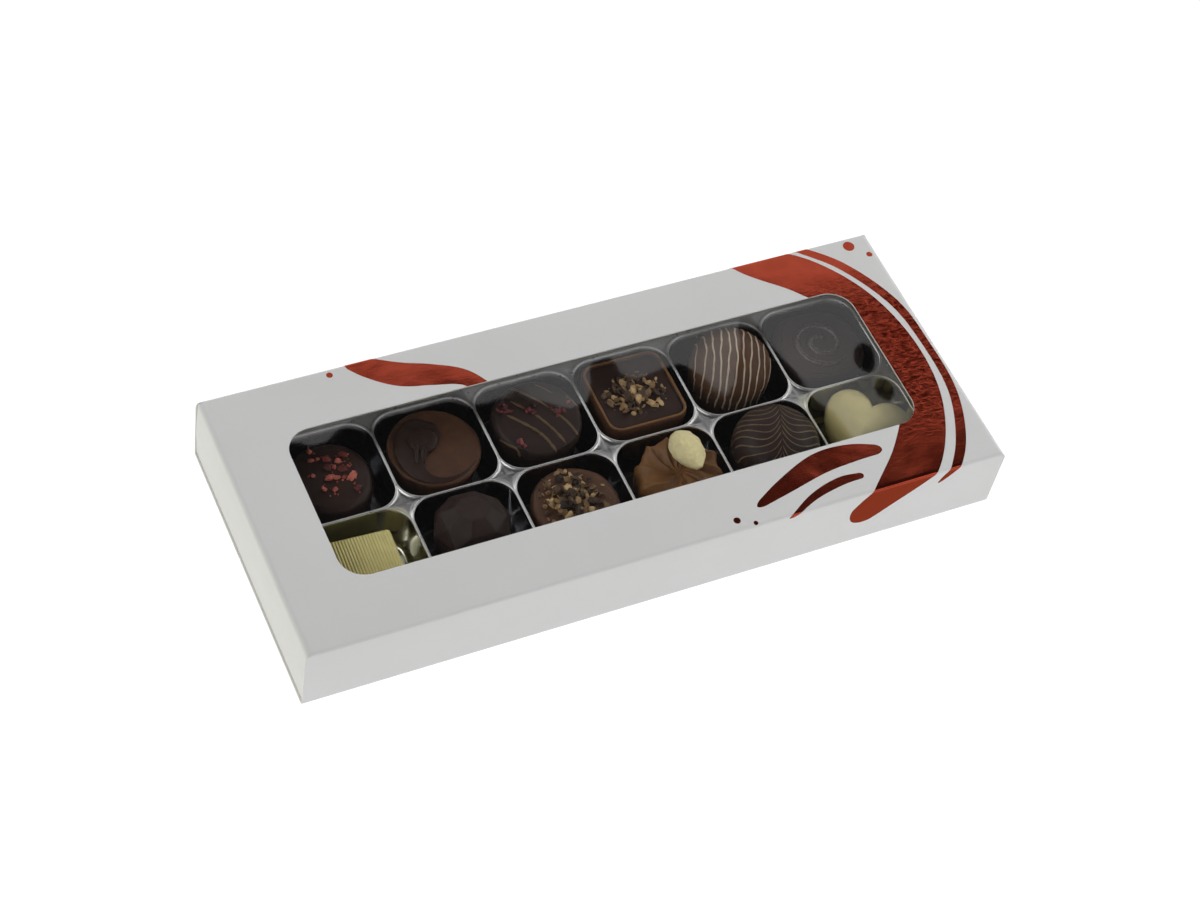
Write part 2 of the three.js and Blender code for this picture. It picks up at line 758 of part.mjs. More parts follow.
// What lies in each cell: the piece, its place from the cell's middle, and its turn, lift and lean if any
const FILLING = [
  ["praline_back_1", raspberryPraline, DARK, "back", 0, -0.4, 0.6],
  ["praline_back_2", cupPraline, MILK, "back", 1, 0.1, 1.1],
  ["comma_back_2", darkComma, DARK, "back", 1, 0.1, 1.1],
  ["praline_back_3", drumPraline, DARK, "back", 2, 1.5, 1.4],
  ["praline_back_4", squareShell, MILK, "back", 3, 0.6, 0.8],
  ["inset_back_4", darkInset, DARK, "back", 3, 0.6, 0.8],
  ["praline_back_5", stripedDome, MILK, "back", 4, 2.2, 2.3],
  ["praline_back_6", curlPraline, DARK, "back", 5, 0.8, 1.2],
  ["praline_front_1", ridgedBlock, IVORY, "front", 0, -1.9, 0, { turn: -2.5 }],
  ["praline_front_2", gemPraline, DARK, "front", 1, -0.2, 1, { lift: 3.9, lean: GEM_LEAN }],
  ["praline_front_3", nibPraline, MILK, "front", 2, 0.1, 1.4],
  ["praline_front_4", rosette, MILK, "front", 3, 1.1, 1.3],
  ["almond", coatedAlmond, ALMOND, "front", 3, 4.6, 4.8, { lift: ALMOND_Z, turn: 4 }],
  ["praline_front_5", featheredDome, DARK, "front", 4, 1.6, 1.7],
  ["praline_front_6", heart, IVORY, "front", 5, 1, 1.5, { turn: -45 }],
];

function namedMesh(name, geometry, finish) {
  const mesh = new THREE.Mesh(geometry, new THREE.MeshStandardMaterial(finish));
  mesh.name = name;
  return mesh;
}

const box = new THREE.Group();
box.add(namedMesh("carton", carton(), WHITE_BOARD));
box.add(namedMesh("window_film", windowFilm(), CLEAR_FILM));
box.add(namedMesh("tray", tray(), SILVER));

for (const [name, form, finish, row, column, x, y, { turn = 0, lift = 0, lean = 0 } = {}] of FILLING) {
  const place = cellPlace(row, column);
  const piece = namedMesh(name, form(), finish);
  piece.position.set(place.x + x, place.y + y, lift);
  piece.rotation.set(THREE.MathUtils.degToRad(-lean), 0, THREE.MathUtils.degToRad(turn), "ZXY");
  box.add(piece);
}

export default box;
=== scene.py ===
"""The looks of a box of chocolate pralines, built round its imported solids.

Lengths are in millimetres until a mesh is made."""

import math

import bmesh
import bpy
import numpy as np
from mathutils import Euler, Matrix, Vector, noise


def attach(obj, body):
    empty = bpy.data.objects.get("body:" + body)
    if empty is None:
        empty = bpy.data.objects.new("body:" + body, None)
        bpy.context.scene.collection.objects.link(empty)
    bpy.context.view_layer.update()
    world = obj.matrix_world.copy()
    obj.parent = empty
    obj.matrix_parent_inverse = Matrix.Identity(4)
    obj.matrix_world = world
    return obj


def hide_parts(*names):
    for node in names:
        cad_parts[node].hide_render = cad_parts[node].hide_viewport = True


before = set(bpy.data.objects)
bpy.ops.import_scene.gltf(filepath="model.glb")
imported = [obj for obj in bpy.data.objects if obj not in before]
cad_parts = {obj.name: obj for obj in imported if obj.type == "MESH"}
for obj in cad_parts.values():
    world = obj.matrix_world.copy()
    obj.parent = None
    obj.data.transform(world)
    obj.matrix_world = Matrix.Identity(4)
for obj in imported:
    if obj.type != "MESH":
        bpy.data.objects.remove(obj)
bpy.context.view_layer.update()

MM = 0.001
TURN = 2 * math.pi

# Carton
LENGTH, WIDTH, HEIGHT = 225.0, 93.0, 25.0
BOARD = 0.5
FOLD = 1.1
FLAP_INSET = 0.4
WINDOW = (187.0, 54.0)
WINDOW_RADIUS = 8.0
WINDOW_AT = (0.5, 0.5)

# Tray
COLUMNS = 6
PITCH = 32.6
OPENING = 31.8
FLOOR_WIDTH = 29.8
CELL_RADIUS = 7.5
RIM_Z = 16.0
LAND_Z = 15.5
FLOOR_Z = 1.35
STAND_Z = 1.65
TRAY_AT = (0.45, -0.5)
TRAY_SIZE = (220.0, 90.0)

# Camera
CAMERA_AT = Vector((-268.44, -393.96, 622.79))
CAMERA_RIGHT = Vector((0.90489, -0.40334, 0.13596))
CAMERA_AHEAD = Vector((0.34571, 0.51013, -0.78756))
FOCAL_PX = 2572.1
PHOTO = (1200, 900)


def lerp(a, b, t):
    return a + (b - a) * t


def smooth(t):
    t = np.clip(t, 0.0, 1.0)
    return t * t * (3 - 2 * t)


# Shapes as (vertices, faces)


def loft(rings, capped=(True, True)):
    """A skin through rings of equally many points, each turning left about the way it travels"""
    rings = np.asarray(rings, float)
    count, n = rings.shape[:2]
    vertices = [tuple(p) for p in rings.reshape(-1, 3)]
    faces = []
    for k in range(count - 1):
        for i in range(n):
            a, b = k * n + i, k * n + (i + 1) % n
            faces.append((a, b, b + n, a + n))
    for which, k in ((0, 0), (1, count - 1)):
        if not capped[which]:
            continue
        vertices.append(tuple(rings[k].mean(0)))
        apex = len(vertices) - 1
        for i in range(n):
            a, b = k * n + i, k * n + (i + 1) % n
            faces.append((apex, a, b) if which else (apex, b, a))
    return vertices, faces


def circle(radius, z, n, turn=0.0):
    angle = turn + TURN * np.arange(n) / n
    return np.c_[radius * np.cos(angle), radius * np.sin(angle), np.full(n, z)]


def lathe(profile, n=96):
    return loft([circle(max(radius, 0.02), z, n) for radius, z in profile])


def rounded(points, reach, steps=6):
    """The polyline with each inner corner turned into a curve that starts reach before it"""
    points = [np.array(p, float) for p in points]
    done = [points[0]]
    for before, corner, after in zip(points, points[1:], points[2:]):
        into, out = before - corner, after - corner
        start = corner + into * min(reach / np.linalg.norm(into), 0.5)
        end = corner + out * min(reach / np.linalg.norm(out), 0.5)
        for t in np.linspace(0, 1, steps + 1):
            done.append((1 - t) ** 2 * start + 2 * t * (1 - t) * corner + t * t * end)
    done.append(points[-1])
    return np.array(done)


def spline(points, n):
    """n points along a smooth curve through the given ones"""
    points = np.array(points, float)
    padded = np.vstack([2 * points[0] - points[1], points, 2 * points[-1] - points[-2]])
    done = []
    for s in np.linspace(0, len(points) - 1, n):
        i = min(int(s), len(points) - 2)
        t = s - i
        a, b, c, d = padded[i : i + 4]
        done.append(
            0.5 * (2 * b + (c - a) * t + (2 * a - 5 * b + 4 * c - d) * t * t + (3 * b - a - 3 * c + d) * t**3)
        )
    return np.array(done)


CORNERS = ((1, 1), (-1, 1), (-1, -1), (1, -1))


def rounded_rectangle(width, depth, radius, arc=12, straight=1):
    """Points and outward normals, anticlockwise: each corner's arc, then the side after it"""
    points, normals = [], []
    reach = np.array([width / 2 - radius, depth / 2 - radius])
    for corner in range(4):
        for i in range(arc + 1):
            angle = (corner + i / arc) * math.pi / 2
            normals.append(np.array([math.cos(angle), math.sin(angle)]))
            points.append(reach * CORNERS[corner] + radius * normals[-1])
        start, end = points[-1], reach * CORNERS[(corner + 1) % 4] + radius * normals[-1]
        for i in range(1, straight):
            points.append(lerp(start, end, i / straight))
            normals.append(normals[-1])
    return np.array(points), np.array(normals)


def level(outline, z):
    outline = np.asarray(outline, float)
    return np.c_[outline, np.full(len(outline), z)]


def super_ellipse(radius, power, n=96):
    angle = TURN * np.arange(n) / n
    c, s = np.cos(angle), np.sin(angle)
    reach = radius / (np.abs(c) ** power + np.abs(s) ** power) ** (1 / power)
    return np.c_[reach * c, reach * s]


def strand(path, normals, width, height, sides=10, taper=3):
    """A flattened strand along a path that lies on a surface with the given normals"""
    path, normals = np.asarray(path, float), np.asarray(normals, float)
    n = len(path)
    ahead = np.gradient(path, axis=0)
    side = np.cross(ahead, normals)
    side /= np.linalg.norm(side, axis=1)[:, None]
    up = np.cross(side, ahead)
    up /= np.linalg.norm(up, axis=1)[:, None]
    width, height = np.broadcast_to(width, n), np.broadcast_to(height, n)
    ends = np.minimum(np.arange(n), np.arange(n)[::-1]) / taper
    narrow = np.sqrt(np.clip(ends, 0.03, 1))
    rings = []
    for k in range(n):
        angle = TURN * np.arange(sides) / sides
        across = np.cos(angle)[:, None] * side[k] * width[k] * narrow[k] / 2
        over = np.sin(angle)[:, None] * up[k] * height[k] * narrow[k] / 2
        rings.append(path[k] + across + over)
    return loft(rings)


def joined(parts):
    """Several shapes as one, with the same faces"""
    vertices, faces = [], []
    for part_vertices, part_faces in parts:
        start = len(vertices)
        vertices += [tuple(v) for v in part_vertices]
        faces += [tuple(start + i for i in f) for f in part_faces]
    return vertices, faces


def through(matrix, shape):
    vertices, faces = shape
    return [tuple(matrix @ Vector(v)) for v in vertices], faces


def moved(shape, x=0.0, y=0.0, z=0.0, turn=0.0, lean=0.0):
    matrix = Matrix.Translation((x, y, z)) @ Matrix.Rotation(math.radians(turn), 4, "Z")
    return through(matrix @ Matrix.Rotation(math.radians(-lean), 4, "X"), shape)


def stone(draw, size, long=1.0, flat=0.6, planes=13, edge=9.0, detail=3, relief=0.05):
    """A broken crumb: a ball cut by planes, with its edges a little worn"""
    mesh = bmesh.new()
    bmesh.ops.create_icosphere(mesh, subdivisions=detail, radius=1)
    ways = draw.normal(size=(planes, 3))
    ways /= np.linalg.norm(ways, axis=1)[:, None]
    ways /= draw.uniform(0.62, 1.0, (planes, 1))
    spots = np.array([v.co for v in mesh.verts])
    pull = np.clip(spots @ ways.T, 0, None) ** edge
    reach = (pull.sum(1) + 0.2**edge) ** (-1 / edge)
    offset = Vector(draw.uniform(-50, 50, 3))
    vertices = []
    for spot, r in zip(spots, np.minimum(reach, 1.25)):
        r *= 1 + relief * noise.noise(Vector(spot) * 3.5 + offset)
        vertices.append(tuple(spot * r * np.array([long, 1.0, flat]) * size / 2))
    faces = [tuple(v.index for v in f.verts) for f in mesh.faces]
    mesh.free()
    return vertices, faces


def tumbled(shape, draw, place, tilt=0.5):
    turns = draw.uniform(-tilt, tilt), draw.uniform(-tilt, tilt), draw.uniform(0, TURN)
    return through(Matrix.Translation(place) @ Euler(turns).to_matrix().to_4x4(), shape)


def scatter(draw, count, reach, apart, thin=0.75):
    """Places at least apart from each other, more of them near the middle"""
    places = []
    for _ in range(count * 60):
        radius, angle = reach * draw.random() ** thin, TURN * draw.random()
        place = np.array([radius * math.cos(angle), radius * math.sin(angle)])
        if all(np.linalg.norm(place - other) > apart for other in places):
            places.append(place)
        if len(places) == count:
            break
    return places


# Pieces


def new_object(name, data):
    made = bpy.data.objects.new(name, data)
    bpy.context.scene.collection.objects.link(made)
    return made


def piece(name, shape, material, replaced=(), flat=False, tones=None):
    """An object of one material, with a tone for each vertex where those are given"""
    vertices, faces = shape
    mesh = bpy.data.meshes.new(name)
    mesh.from_pydata([(x * MM, y * MM, z * MM) for x, y, z in vertices], [], faces)
    mesh.materials.append(material)
    mesh.polygons.foreach_set("use_smooth", [not flat] * len(mesh.polygons))
    if tones is not None:
        layer = mesh.attributes.new("tone", "FLOAT", "POINT")
        layer.data.foreach_set("value", np.asarray(tones, np.float32))
    mesh.validate()
    mesh.update()
    made = new_object(name, mesh)
    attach(made, "root")
    if replaced:
        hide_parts(*replaced)
    return made


def crumbs(name, at, shapes, draw, material):
    """Many small things as one piece, each with a tone of its own"""
    tones = []
    for vertices, _ in shapes:
        tones += [draw.random()] * len(vertices)
    made = piece(name, joined([at(shape) for shape in shapes]), material, tones=tones)
    by_angle(made, 26)


def uneven(made, amount, size, seed=0.0):
    """Pushes the surface in and out along its normals by soft noise"""
    mesh = made.data
    shift = Vector((seed, 0.7 * seed, -seed))
    places = [(v.co.copy(), v.normal.copy()) for v in mesh.vertices]
    moved_places = []
    for place, normal in places:
        moved_places.extend(place + normal * (amount * MM * noise.noise(place / (size * MM) + shift)))
    mesh.vertices.foreach_set("co", moved_places)
    mesh.update()


def by_angle(made, degrees):
    """Smooth shading, with the edges sharper than the angle kept sharp"""
    made.data.set_sharp_from_angle(angle=math.radians(degrees))


# Materials


def add(tree, kind, inputs=None, **settings):
    node = tree.nodes.new(kind)
    for key, value in settings.items():
        setattr(node, key, value)
    for key, value in (inputs or {}).items():
        if isinstance(value, bpy.types.NodeSocket):
            tree.links.new(value, node.inputs[key])
        else:
            node.inputs[key].default_value = value
    return node


def blank(name):
    material = bpy.data.materials.new(name)
    material.use_nodes = True
    material.node_tree.nodes.clear()
    return material, material.node_tree


def coordinates(tree, stretch=(1, 1, 1)):
    where = add(tree, "ShaderNodeTexCoord").outputs["Object"]
    return add(tree, "ShaderNodeMapping", {"Vector": where, "Scale": stretch}).outputs["Vector"]


def noise_of(tree, vector, scale, detail=3.0, rough=0.5, twist=0.0):
    inputs = {"Vector": vector, "Scale": scale, "Detail": detail, "Roughness": rough, "Distortion": twist}
    return add(tree, "ShaderNodeTexNoise", inputs).outputs["Fac"]


def ramp(tree, value, stops):
    node = add(tree, "ShaderNodeValToRGB", {"Fac": value})
    while len(node.color_ramp.elements) < len(stops):
        node.color_ramp.elements.new(0.5)
    for element, (place, colour) in zip(node.color_ramp.elements, stops):
        element.position = place
        element.color = (*colour, 1.0)
    return node.outputs["Color"]


def between(tree, value, low, high, start=0.3, end=0.7):
    inputs = {"Value": value, "From Min": start, "From Max": end, "To Min": low, "To Max": high}
    return add(tree, "ShaderNodeMapRange", inputs).outputs["Result"]


def rise(tree, value, start, end):
    return between(tree, value, 0.0, 1.0, start, end)


def fall(tree, value, start, end):
    return between(tree, value, 1.0, 0.0, start, end)


def calc(tree, operation, a, b=0.0):
    return add(tree, "ShaderNodeMath", {0: a, 1: b}, operation=operation).outputs["Value"]


def product(tree, first, *others):
    for other in others:
        first = calc(tree, "MULTIPLY", first, other)
    return first


def blended(tree, share, under, over, kind="RGBA"):
    """Under where the share is 0, and over where it is 1"""
    a, b, out = {"FLOAT": (2, 3, 0), "RGBA": (6, 7, 2)}[kind]
    return add(tree, "ShaderNodeMix", {0: share, a: under, b: over}, data_type=kind).outputs[out]


def parts_of(tree, vector):
    return add(tree, "ShaderNodeSeparateXYZ", {"Vector": vector}).outputs


def bump(tree, height, distance, strength=1.0, under=None):
    inputs = {"Height": height, "Distance": distance * MM, "Strength": strength}
    if under is not None:
        inputs["Normal"] = under
    return add(tree, "ShaderNodeBump", inputs).outputs["Normal"]


def finish_material(tree, shader):
    add(tree, "ShaderNodeOutputMaterial", {"Surface": shader})


def principled(tree, **inputs):
    named = {key.replace("_", " "): value for key, value in inputs.items()}
    return add(tree, "ShaderNodeBsdfPrincipled", named).outputs["BSDF"]


def scaled(colour, k):
    return tuple(min(1.0, c * k) for c in colour)


def cocoa(name, colour, gloss=(0.3, 0.48), relief=0.05, patch=220.0, bloom=0.12, soft=0.0, mirror=0.34):
    """Moulded chocolate: clouded colour, a faint bloom, small dimples and an uneven sheen"""
    material, tree = blank(name)
    where = coordinates(tree)
    cloud = noise_of(tree, where, patch, 5.0, 0.6, 0.6)
    dull, pale = scaled(colour, 1 - bloom), scaled(colour, 1 + 1.6 * bloom)
    tint = ramp(tree, cloud, [(0.32, dull), (0.5, colour), (0.72, pale)])
    grain = noise_of(tree, where, 2600.0, 3.0, 0.6)
    dents = noise_of(tree, where, 520.0, 2.0, 0.5)
    normal = bump(tree, dents, 1.6 * relief, 0.6, bump(tree, grain, 0.35 * relief, 0.25))
    sheen = between(tree, noise_of(tree, where, 330.0, 4.0, 0.6), *gloss)
    inputs = dict(Base_Color=tint, Roughness=sheen, Specular_IOR_Level=mirror, Normal=normal)
    if soft:
        inputs.update(Subsurface_Weight=soft, Subsurface_Radius=(1.0, 0.8, 0.4), Subsurface_Scale=0.0012)
    finish_material(tree, principled(tree, **inputs))
    return material


CRUMB_GRAIN = 900.0


def crumb_material(name, stops, gloss, relief):
    """Broken bits: a tone for each bit, mottled"""
    material, tree = blank(name)
    where = coordinates(tree)
    tone = add(tree, "ShaderNodeAttribute", attribute_name="tone").outputs["Fac"]
    mottle = noise_of(tree, where, CRUMB_GRAIN, 4.0, 0.65)
    tint = ramp(tree, calc(tree, "ADD", product(tree, tone, 0.72), product(tree, mottle, 0.42)), stops)
    normal = bump(tree, noise_of(tree, where, 2.4 * CRUMB_GRAIN, 4.0, 0.6), relief, 0.9)
    finish_material(tree, principled(tree, Base_Color=tint, Roughness=gloss, Normal=normal))
    return material


def board_material(name, colour, gloss, relief, fibre):
    material, tree = blank(name)
    where = coordinates(tree)
    cloud = noise_of(tree, where, 28.0, 3.0, 0.5)
    tint = ramp(tree, cloud, [(0.35, scaled(colour, 0.985)), (0.65, scaled(colour, 1.01))])
    strands = noise_of(tree, coordinates(tree, (1.0, 3.0, 3.0)), fibre, 5.0, 0.6)
    normal = bump(tree, strands, relief, 0.6)
    sheen = between(tree, noise_of(tree, where, 160.0), gloss - 0.05, gloss + 0.05)
    finish_material(tree, principled(tree, Base_Color=tint, Roughness=sheen, Normal=normal))
    return material


def foil_material():
    """Hot-stamped red foil: smooth but for the crinkled end, where dark reflection is painted into the
    crinkles, and with painted shade down the sides
    """
    material, tree = blank("red_foil")
    where = coordinates(tree)
    x, y, z = parts_of(tree, where)
    behind = product(tree, rise(tree, y, -34 * MM, -20 * MM), fall(tree, y, 20 * MM, 36 * MM))
    rough = product(tree, rise(tree, x, 70 * MM, 90 * MM), behind)
    crinkle = noise_of(tree, coordinates(tree, (1.0, 2.0, 1.0)), 360.0, 5.0, 0.6, 0.8)
    under = bump(tree, noise_of(tree, where, 60.0, 2.0, 0.5), 0.5, 0.5)
    normal = bump(tree, crinkle, 0.26, between(tree, rough, 0.06, 1.0, 0.0, 1.0), under)
    tint = ramp(tree, noise_of(tree, where, 90.0), [(0.3, (0.5, 0.075, 0.04)), (0.7, (0.6, 0.1, 0.055))])
    # Painted reflection: patches of the crinkled end are darkened, standing in for the dark card that the
    # crinkles mirror
    painted_crinkle_reflection = product(tree, rough, between(tree, crinkle, 1.0, 0.35, 0.38, 0.6))
    tint = blended(tree, painted_crinkle_reflection, tint, (0.11, 0.012, 0.006, 1.0))
    # Painted shade: below the top face the foil's colour is darker, down the folds and the sides
    tint = blended(tree, fall(tree, z, 23.8 * MM, 24.8 * MM), tint, (0.19, 0.03, 0.016, 1.0))
    edge_tint = (0.85, 0.56, 0.5, 1.0)
    inputs = dict(Base_Color=tint, Metallic=1.0, Roughness=0.14, Specular_Tint=edge_tint, Normal=normal)
    finish_material(tree, principled(tree, **inputs))
    return material


def silver_material():
    """Metallised sheet: painted shade that darkens it deeper in the cells, a painted cream reflection of the
    ivory pralines in the front row's end cells, and frosted behind
    """
    material, tree = blank("silver_tray")
    where = coordinates(tree)
    x, y, z = parts_of(tree, where)
    streaks = noise_of(tree, coordinates(tree, (1.0, 1.0, 0.12)), 420.0, 3.0, 0.55)
    normal = bump(tree, streaks, 0.05, 0.6)
    # Painted shade: the silver's colour darkens from the rims down into the cells
    deep = [(0.0, (0.26, 0.265, 0.275)), (0.8, (0.4, 0.4, 0.405))]
    bright = [(0.9, (0.55, 0.55, 0.55)), (0.96, (0.9, 0.9, 0.89))]
    tint = ramp(tree, rise(tree, z, 12.8 * MM, 16 * MM), deep + bright)
    # Painted reflection: the front row's end cells, which hold the ivory pralines, are tinted cream as if
    # mirroring them
    at_end = rise(tree, calc(tree, "ABSOLUTE", x), 64.5 * MM, 65.5 * MM)
    painted_ivory_reflection = product(tree, at_end, fall(tree, y, -2 * MM, -0.5 * MM))
    tint = blended(tree, painted_ivory_reflection, tint, (0.72, 0.71, 0.6, 1.0))
    land = between(tree, z, 0.0, 0.18, 14.7 * MM, 15.2 * MM)
    sheen = calc(tree, "ADD", between(tree, noise_of(tree, where, 260.0), 0.08, 0.18), land)
    rim = product(tree, rise(tree, y, 27 * MM, 30.5 * MM), rise(tree, z, 13.8 * MM, 15 * MM))
    frosted = product(tree, rim, between(tree, noise_of(tree, where, 300.0, 4.0), 0.45, 0.85))
    metal = calc(tree, "SUBTRACT", 1.0, frosted)
    finish_material(tree, principled(tree, Base_Color=tint, Metallic=metal, Roughness=sheen, Normal=normal))
    return material


def film_material():
    """Thin clear film: the front of each side carries the mirror share of both of its skins"""
    material, tree = blank("clear_film")
    normal = bump(tree, noise_of(tree, coordinates(tree), 40.0, 2.0, 0.5), 0.02, 0.5)
    mirrored_part = add(tree, "ShaderNodeFresnel", {"IOR": 1.5, "Normal": normal}).outputs["Fac"]
    front = calc(tree, "SUBTRACT", 1.0, add(tree, "ShaderNodeNewGeometry").outputs["Backfacing"])
    share = product(tree, mirrored_part, 1.9, front)
    clear = add(tree, "ShaderNodeBsdfTransparent", {"Color": (0.99, 0.99, 0.99, 1.0)}).outputs["BSDF"]
    gloss = {"Color": (1.0, 1.0, 1.0, 1.0), "Roughness": 0.02, "Normal": normal}
    mirror = add(tree, "ShaderNodeBsdfGlossy", gloss).outputs["BSDF"]
    finish_material(tree, add(tree, "ShaderNodeMixShader", {0: share, 1: clear, 2: mirror}).outputs["Shader"])
    return material


def cell_place(row, column):
    x = TRAY_AT[0] + (column - (COLUMNS - 1) / 2) * PITCH
    y = TRAY_AT[1] + (PITCH / 2 if row == "back" else -PITCH / 2)
    return x, y


def seat(row, column, x, y):
    """A function that moves shapes to a place in a cell of the tray"""
    cell_x, cell_y = cell_place(row, column)

    def at(shape, z=0.0, turn=0.0, lean=0.0):
        return moved(shape, cell_x + x, cell_y + y, z, turn, lean)

    return at


WHITE = board_material("coated_board", (0.64, 0.64, 0.635), 0.45, 0.012, 1400.0)
RAW = board_material("raw_board", (0.72, 0.705, 0.65), 0.85, 0.05, 2600.0)
CREAM = board_material("coated_board_warm", (0.65, 0.645, 0.6), 0.45, 0.012, 1400.0)
FOIL = foil_material()
SILVER = silver_material()
FILM = film_material()
DARK = cocoa("dark_chocolate", (0.031, 0.015, 0.011), (0.34, 0.52), mirror=0.26)
DARK_SATIN = cocoa("dark_chocolate_satin", (0.028, 0.015, 0.012), (0.4, 0.58), mirror=0.26)
DARK_GLOSS = cocoa("dark_chocolate_gloss", (0.034, 0.017, 0.013), (0.22, 0.34), relief=0.03, mirror=0.7)
FEATHER_LINE = cocoa("feather_line", (0.17, 0.115, 0.06), (0.4, 0.55), bloom=0.15)
MILK = cocoa("milk_chocolate", (0.092, 0.041, 0.019), (0.42, 0.58), mirror=0.26)
MILK_DEEP = cocoa("milk_chocolate_deep", (0.078, 0.034, 0.016), (0.38, 0.52), mirror=0.28)
MILK_PIPED = cocoa("milk_chocolate_piped", (0.21, 0.096, 0.03), (0.36, 0.5), relief=0.07, patch=150.0)
IVORY = cocoa("ivory_chocolate", (0.74, 0.66, 0.29), (0.38, 0.55), bloom=0.04, soft=0.25)
IVORY_DEEP = cocoa("ivory_chocolate_deep", (0.58, 0.51, 0.24), (0.38, 0.55), bloom=0.04, soft=0.25)
WHITE_LINE = cocoa("white_drizzle", (0.5, 0.41, 0.31), (0.4, 0.55), bloom=0.06)
CARAMEL_LINE = cocoa("caramel_drizzle", (0.12, 0.075, 0.036), (0.4, 0.55), bloom=0.15)
ALMOND = cocoa("coated_almond", (0.82, 0.73, 0.4), (0.5, 0.7), relief=0.14, patch=600.0, bloom=0.08, soft=0.2)
BERRY_TONES = [(0.2, (0.07, 0.008, 0.006)), (0.55, (0.32, 0.042, 0.027)), (0.95, (0.62, 0.19, 0.13))]
BERRY_DARK_TONES = [(0.2, (0.03, 0.006, 0.008)), (0.6, (0.12, 0.018, 0.022)), (0.9, (0.3, 0.07, 0.06))]
NIB_TONES = [
    (0.2, (0.022, 0.012, 0.008)), (0.48, (0.09, 0.048, 0.021)),
    (0.7, (0.3, 0.175, 0.07)), (0.95, (0.58, 0.4, 0.19)),
]
BERRY = crumb_material("dried_raspberry", BERRY_TONES, 0.5, 0.2)
BERRY_DARK = crumb_material("dark_berry", BERRY_DARK_TONES, 0.5, 0.08)
NIB = crumb_material("cacao_nib", NIB_TONES, 0.62, 0.1)


# Carton: the tube of board with its window, and both end flaps tucked in


def solid(name, shape):
    mesh = bpy.data.meshes.new(name)
    mesh.from_pydata(shape[0], [], shape[1])
    return new_object(name, mesh)


def combined(base, steps):
    """The base with each solid taken away or joined, as a plain mesh"""
    for kind, other in steps:
        modifier = base.modifiers.new(kind, "BOOLEAN")
        modifier.operation = kind
        modifier.solver = "MANIFOLD"
        modifier.object = other
    bpy.context.view_layer.update()
    evaluated = base.evaluated_get(bpy.context.evaluated_depsgraph_get())
    mesh = bpy.data.meshes.new_from_object(evaluated)
    shape = [tuple(v.co) for v in mesh.vertices], [tuple(p.vertices) for p in mesh.polygons]
    for made in [base] + [other for _, other in steps]:
        bpy.data.objects.remove(made)
    return shape


def prism(outline, low, high):
    return loft([level(outline, low), level(outline, high)])


def along_x(outline, start, end):
    """A prism whose outline lies in the YZ plane"""
    return loft([np.c_[np.full(len(outline), x), outline] for x in (start, end)])


def upright(outline, y):
    """An outline in the XZ plane at the given Y"""
    return np.c_[outline[:, 0], np.full(len(outline), y), outline[:, 1]]


def faced(shape, side):
    """The shape at the right end, or turned round to the left end"""
    vertices, faces = shape
    return [(side * x, side * y, z) for x, y, z in vertices], faces


def fold_arc(x, z, radius, start, end, steps):
    """An arc about (x, z), from and to angles given in quarter turns"""
    angles = [lerp(start, end, i / steps) * math.pi / 2 for i in range(steps + 1)]
    return [(x + radius * math.cos(angle), z + radius * math.sin(angle)) for angle in angles]


def window_prism(grow=0.0):
    outline, _ = rounded_rectangle(WINDOW[0] + 2 * grow, WINDOW[1] + 2 * grow, WINDOW_RADIUS + grow, 16)
    return moved(prism(outline, HEIGHT - 4, HEIGHT + 2), *WINDOW_AT)


def flap_outline():
    """The end flap seen along Y: down from the top panel, round the tuck fold and in over the bottom panel"""
    radius, low, top, tongue, bulge = 1.6, 0.7, HEIGHT - BOARD / 2, 0.85, 0.3
    wall = LENGTH / 2 - FLAP_INSET - BOARD / 2
    path = [(wall - radius - 1, top)] + fold_arc(wall - radius, top - radius, radius, 1, 0, 8)
    for i in range(1, 16):
        z = lerp(top - radius, tongue + low, i / 16)
        path.append((wall + bulge * math.sin(math.pi * i / 16), z))
    path += fold_arc(wall - low, tongue + low, low, 0, -1, 8)
    path.append((wall - low - 10, tongue))
    path = np.array(path)
    ahead = np.gradient(path, axis=0)
    ahead /= np.linalg.norm(ahead, axis=1)[:, None]
    normal = np.c_[-ahead[:, 1], ahead[:, 0]] * BOARD / 2
    return np.vstack([path - normal, (path + normal)[::-1]])


def end_flap(side):
    """The flap is a little rounded off at both ends of its upper fold"""
    outline = flap_outline()
    half = WIDTH / 2 - BOARD - 0.06
    upper = np.clip((outline[:, 1] - HEIGHT + 2) / 1.5, 0, 1)
    cuts = [(half, 0.2), (half - 0.3, 0.07), (half - 0.7, 0)]
    cuts += [(-y, drop) for y, drop in cuts[::-1]]
    rings = [upright(np.c_[outline[:, 0], outline[:, 1] - drop * upper], y) for y, drop in cuts]
    return faced(loft(rings), side)


def corner_cut(side, radius=2.6):
    """What is taken off the ends of the long folds, so that they follow the end flaps' folds"""
    x, z = LENGTH / 2, HEIGHT
    outline = [(x + 1, z + 1), (x - radius, z + 1)] + fold_arc(x - radius, z - radius, radius, 1, 0, 12)
    outline = np.array(outline + [(x + 1, z - radius)])
    return faced(loft([upright(outline, y) for y in (WIDTH / 2 + 1, -WIDTH / 2 - 1)]), side)


def board_face(face):
    """Index of a face's material: coated, raw inside and at cut edges, or warm at the ends"""
    centre, normal = face.center / MM, face.normal
    outward = Vector((0.0, centre.y / (WIDTH / 2), (centre.z - HEIGHT / 2) / (HEIGHT / 2)))
    at_end = abs(centre.x) > LENGTH / 2 - 6
    if at_end and abs(normal.y) < 0.5 and abs(centre.y) < WIDTH / 2 - BOARD:
        outward = Vector((math.copysign(1.0, centre.x), 0.0, 0.4 * outward.z))
    in_panel = HEIGHT - BOARD - 0.1 < centre.z < HEIGHT - 0.02 and abs(centre.y) < WIDTH / 2 - 5
    if normal.dot(outward) <= 0.3 or (in_panel and abs(normal.z) < 0.5):
        return 1
    return 2 if at_end and abs(normal.x) > 0.7 else 0


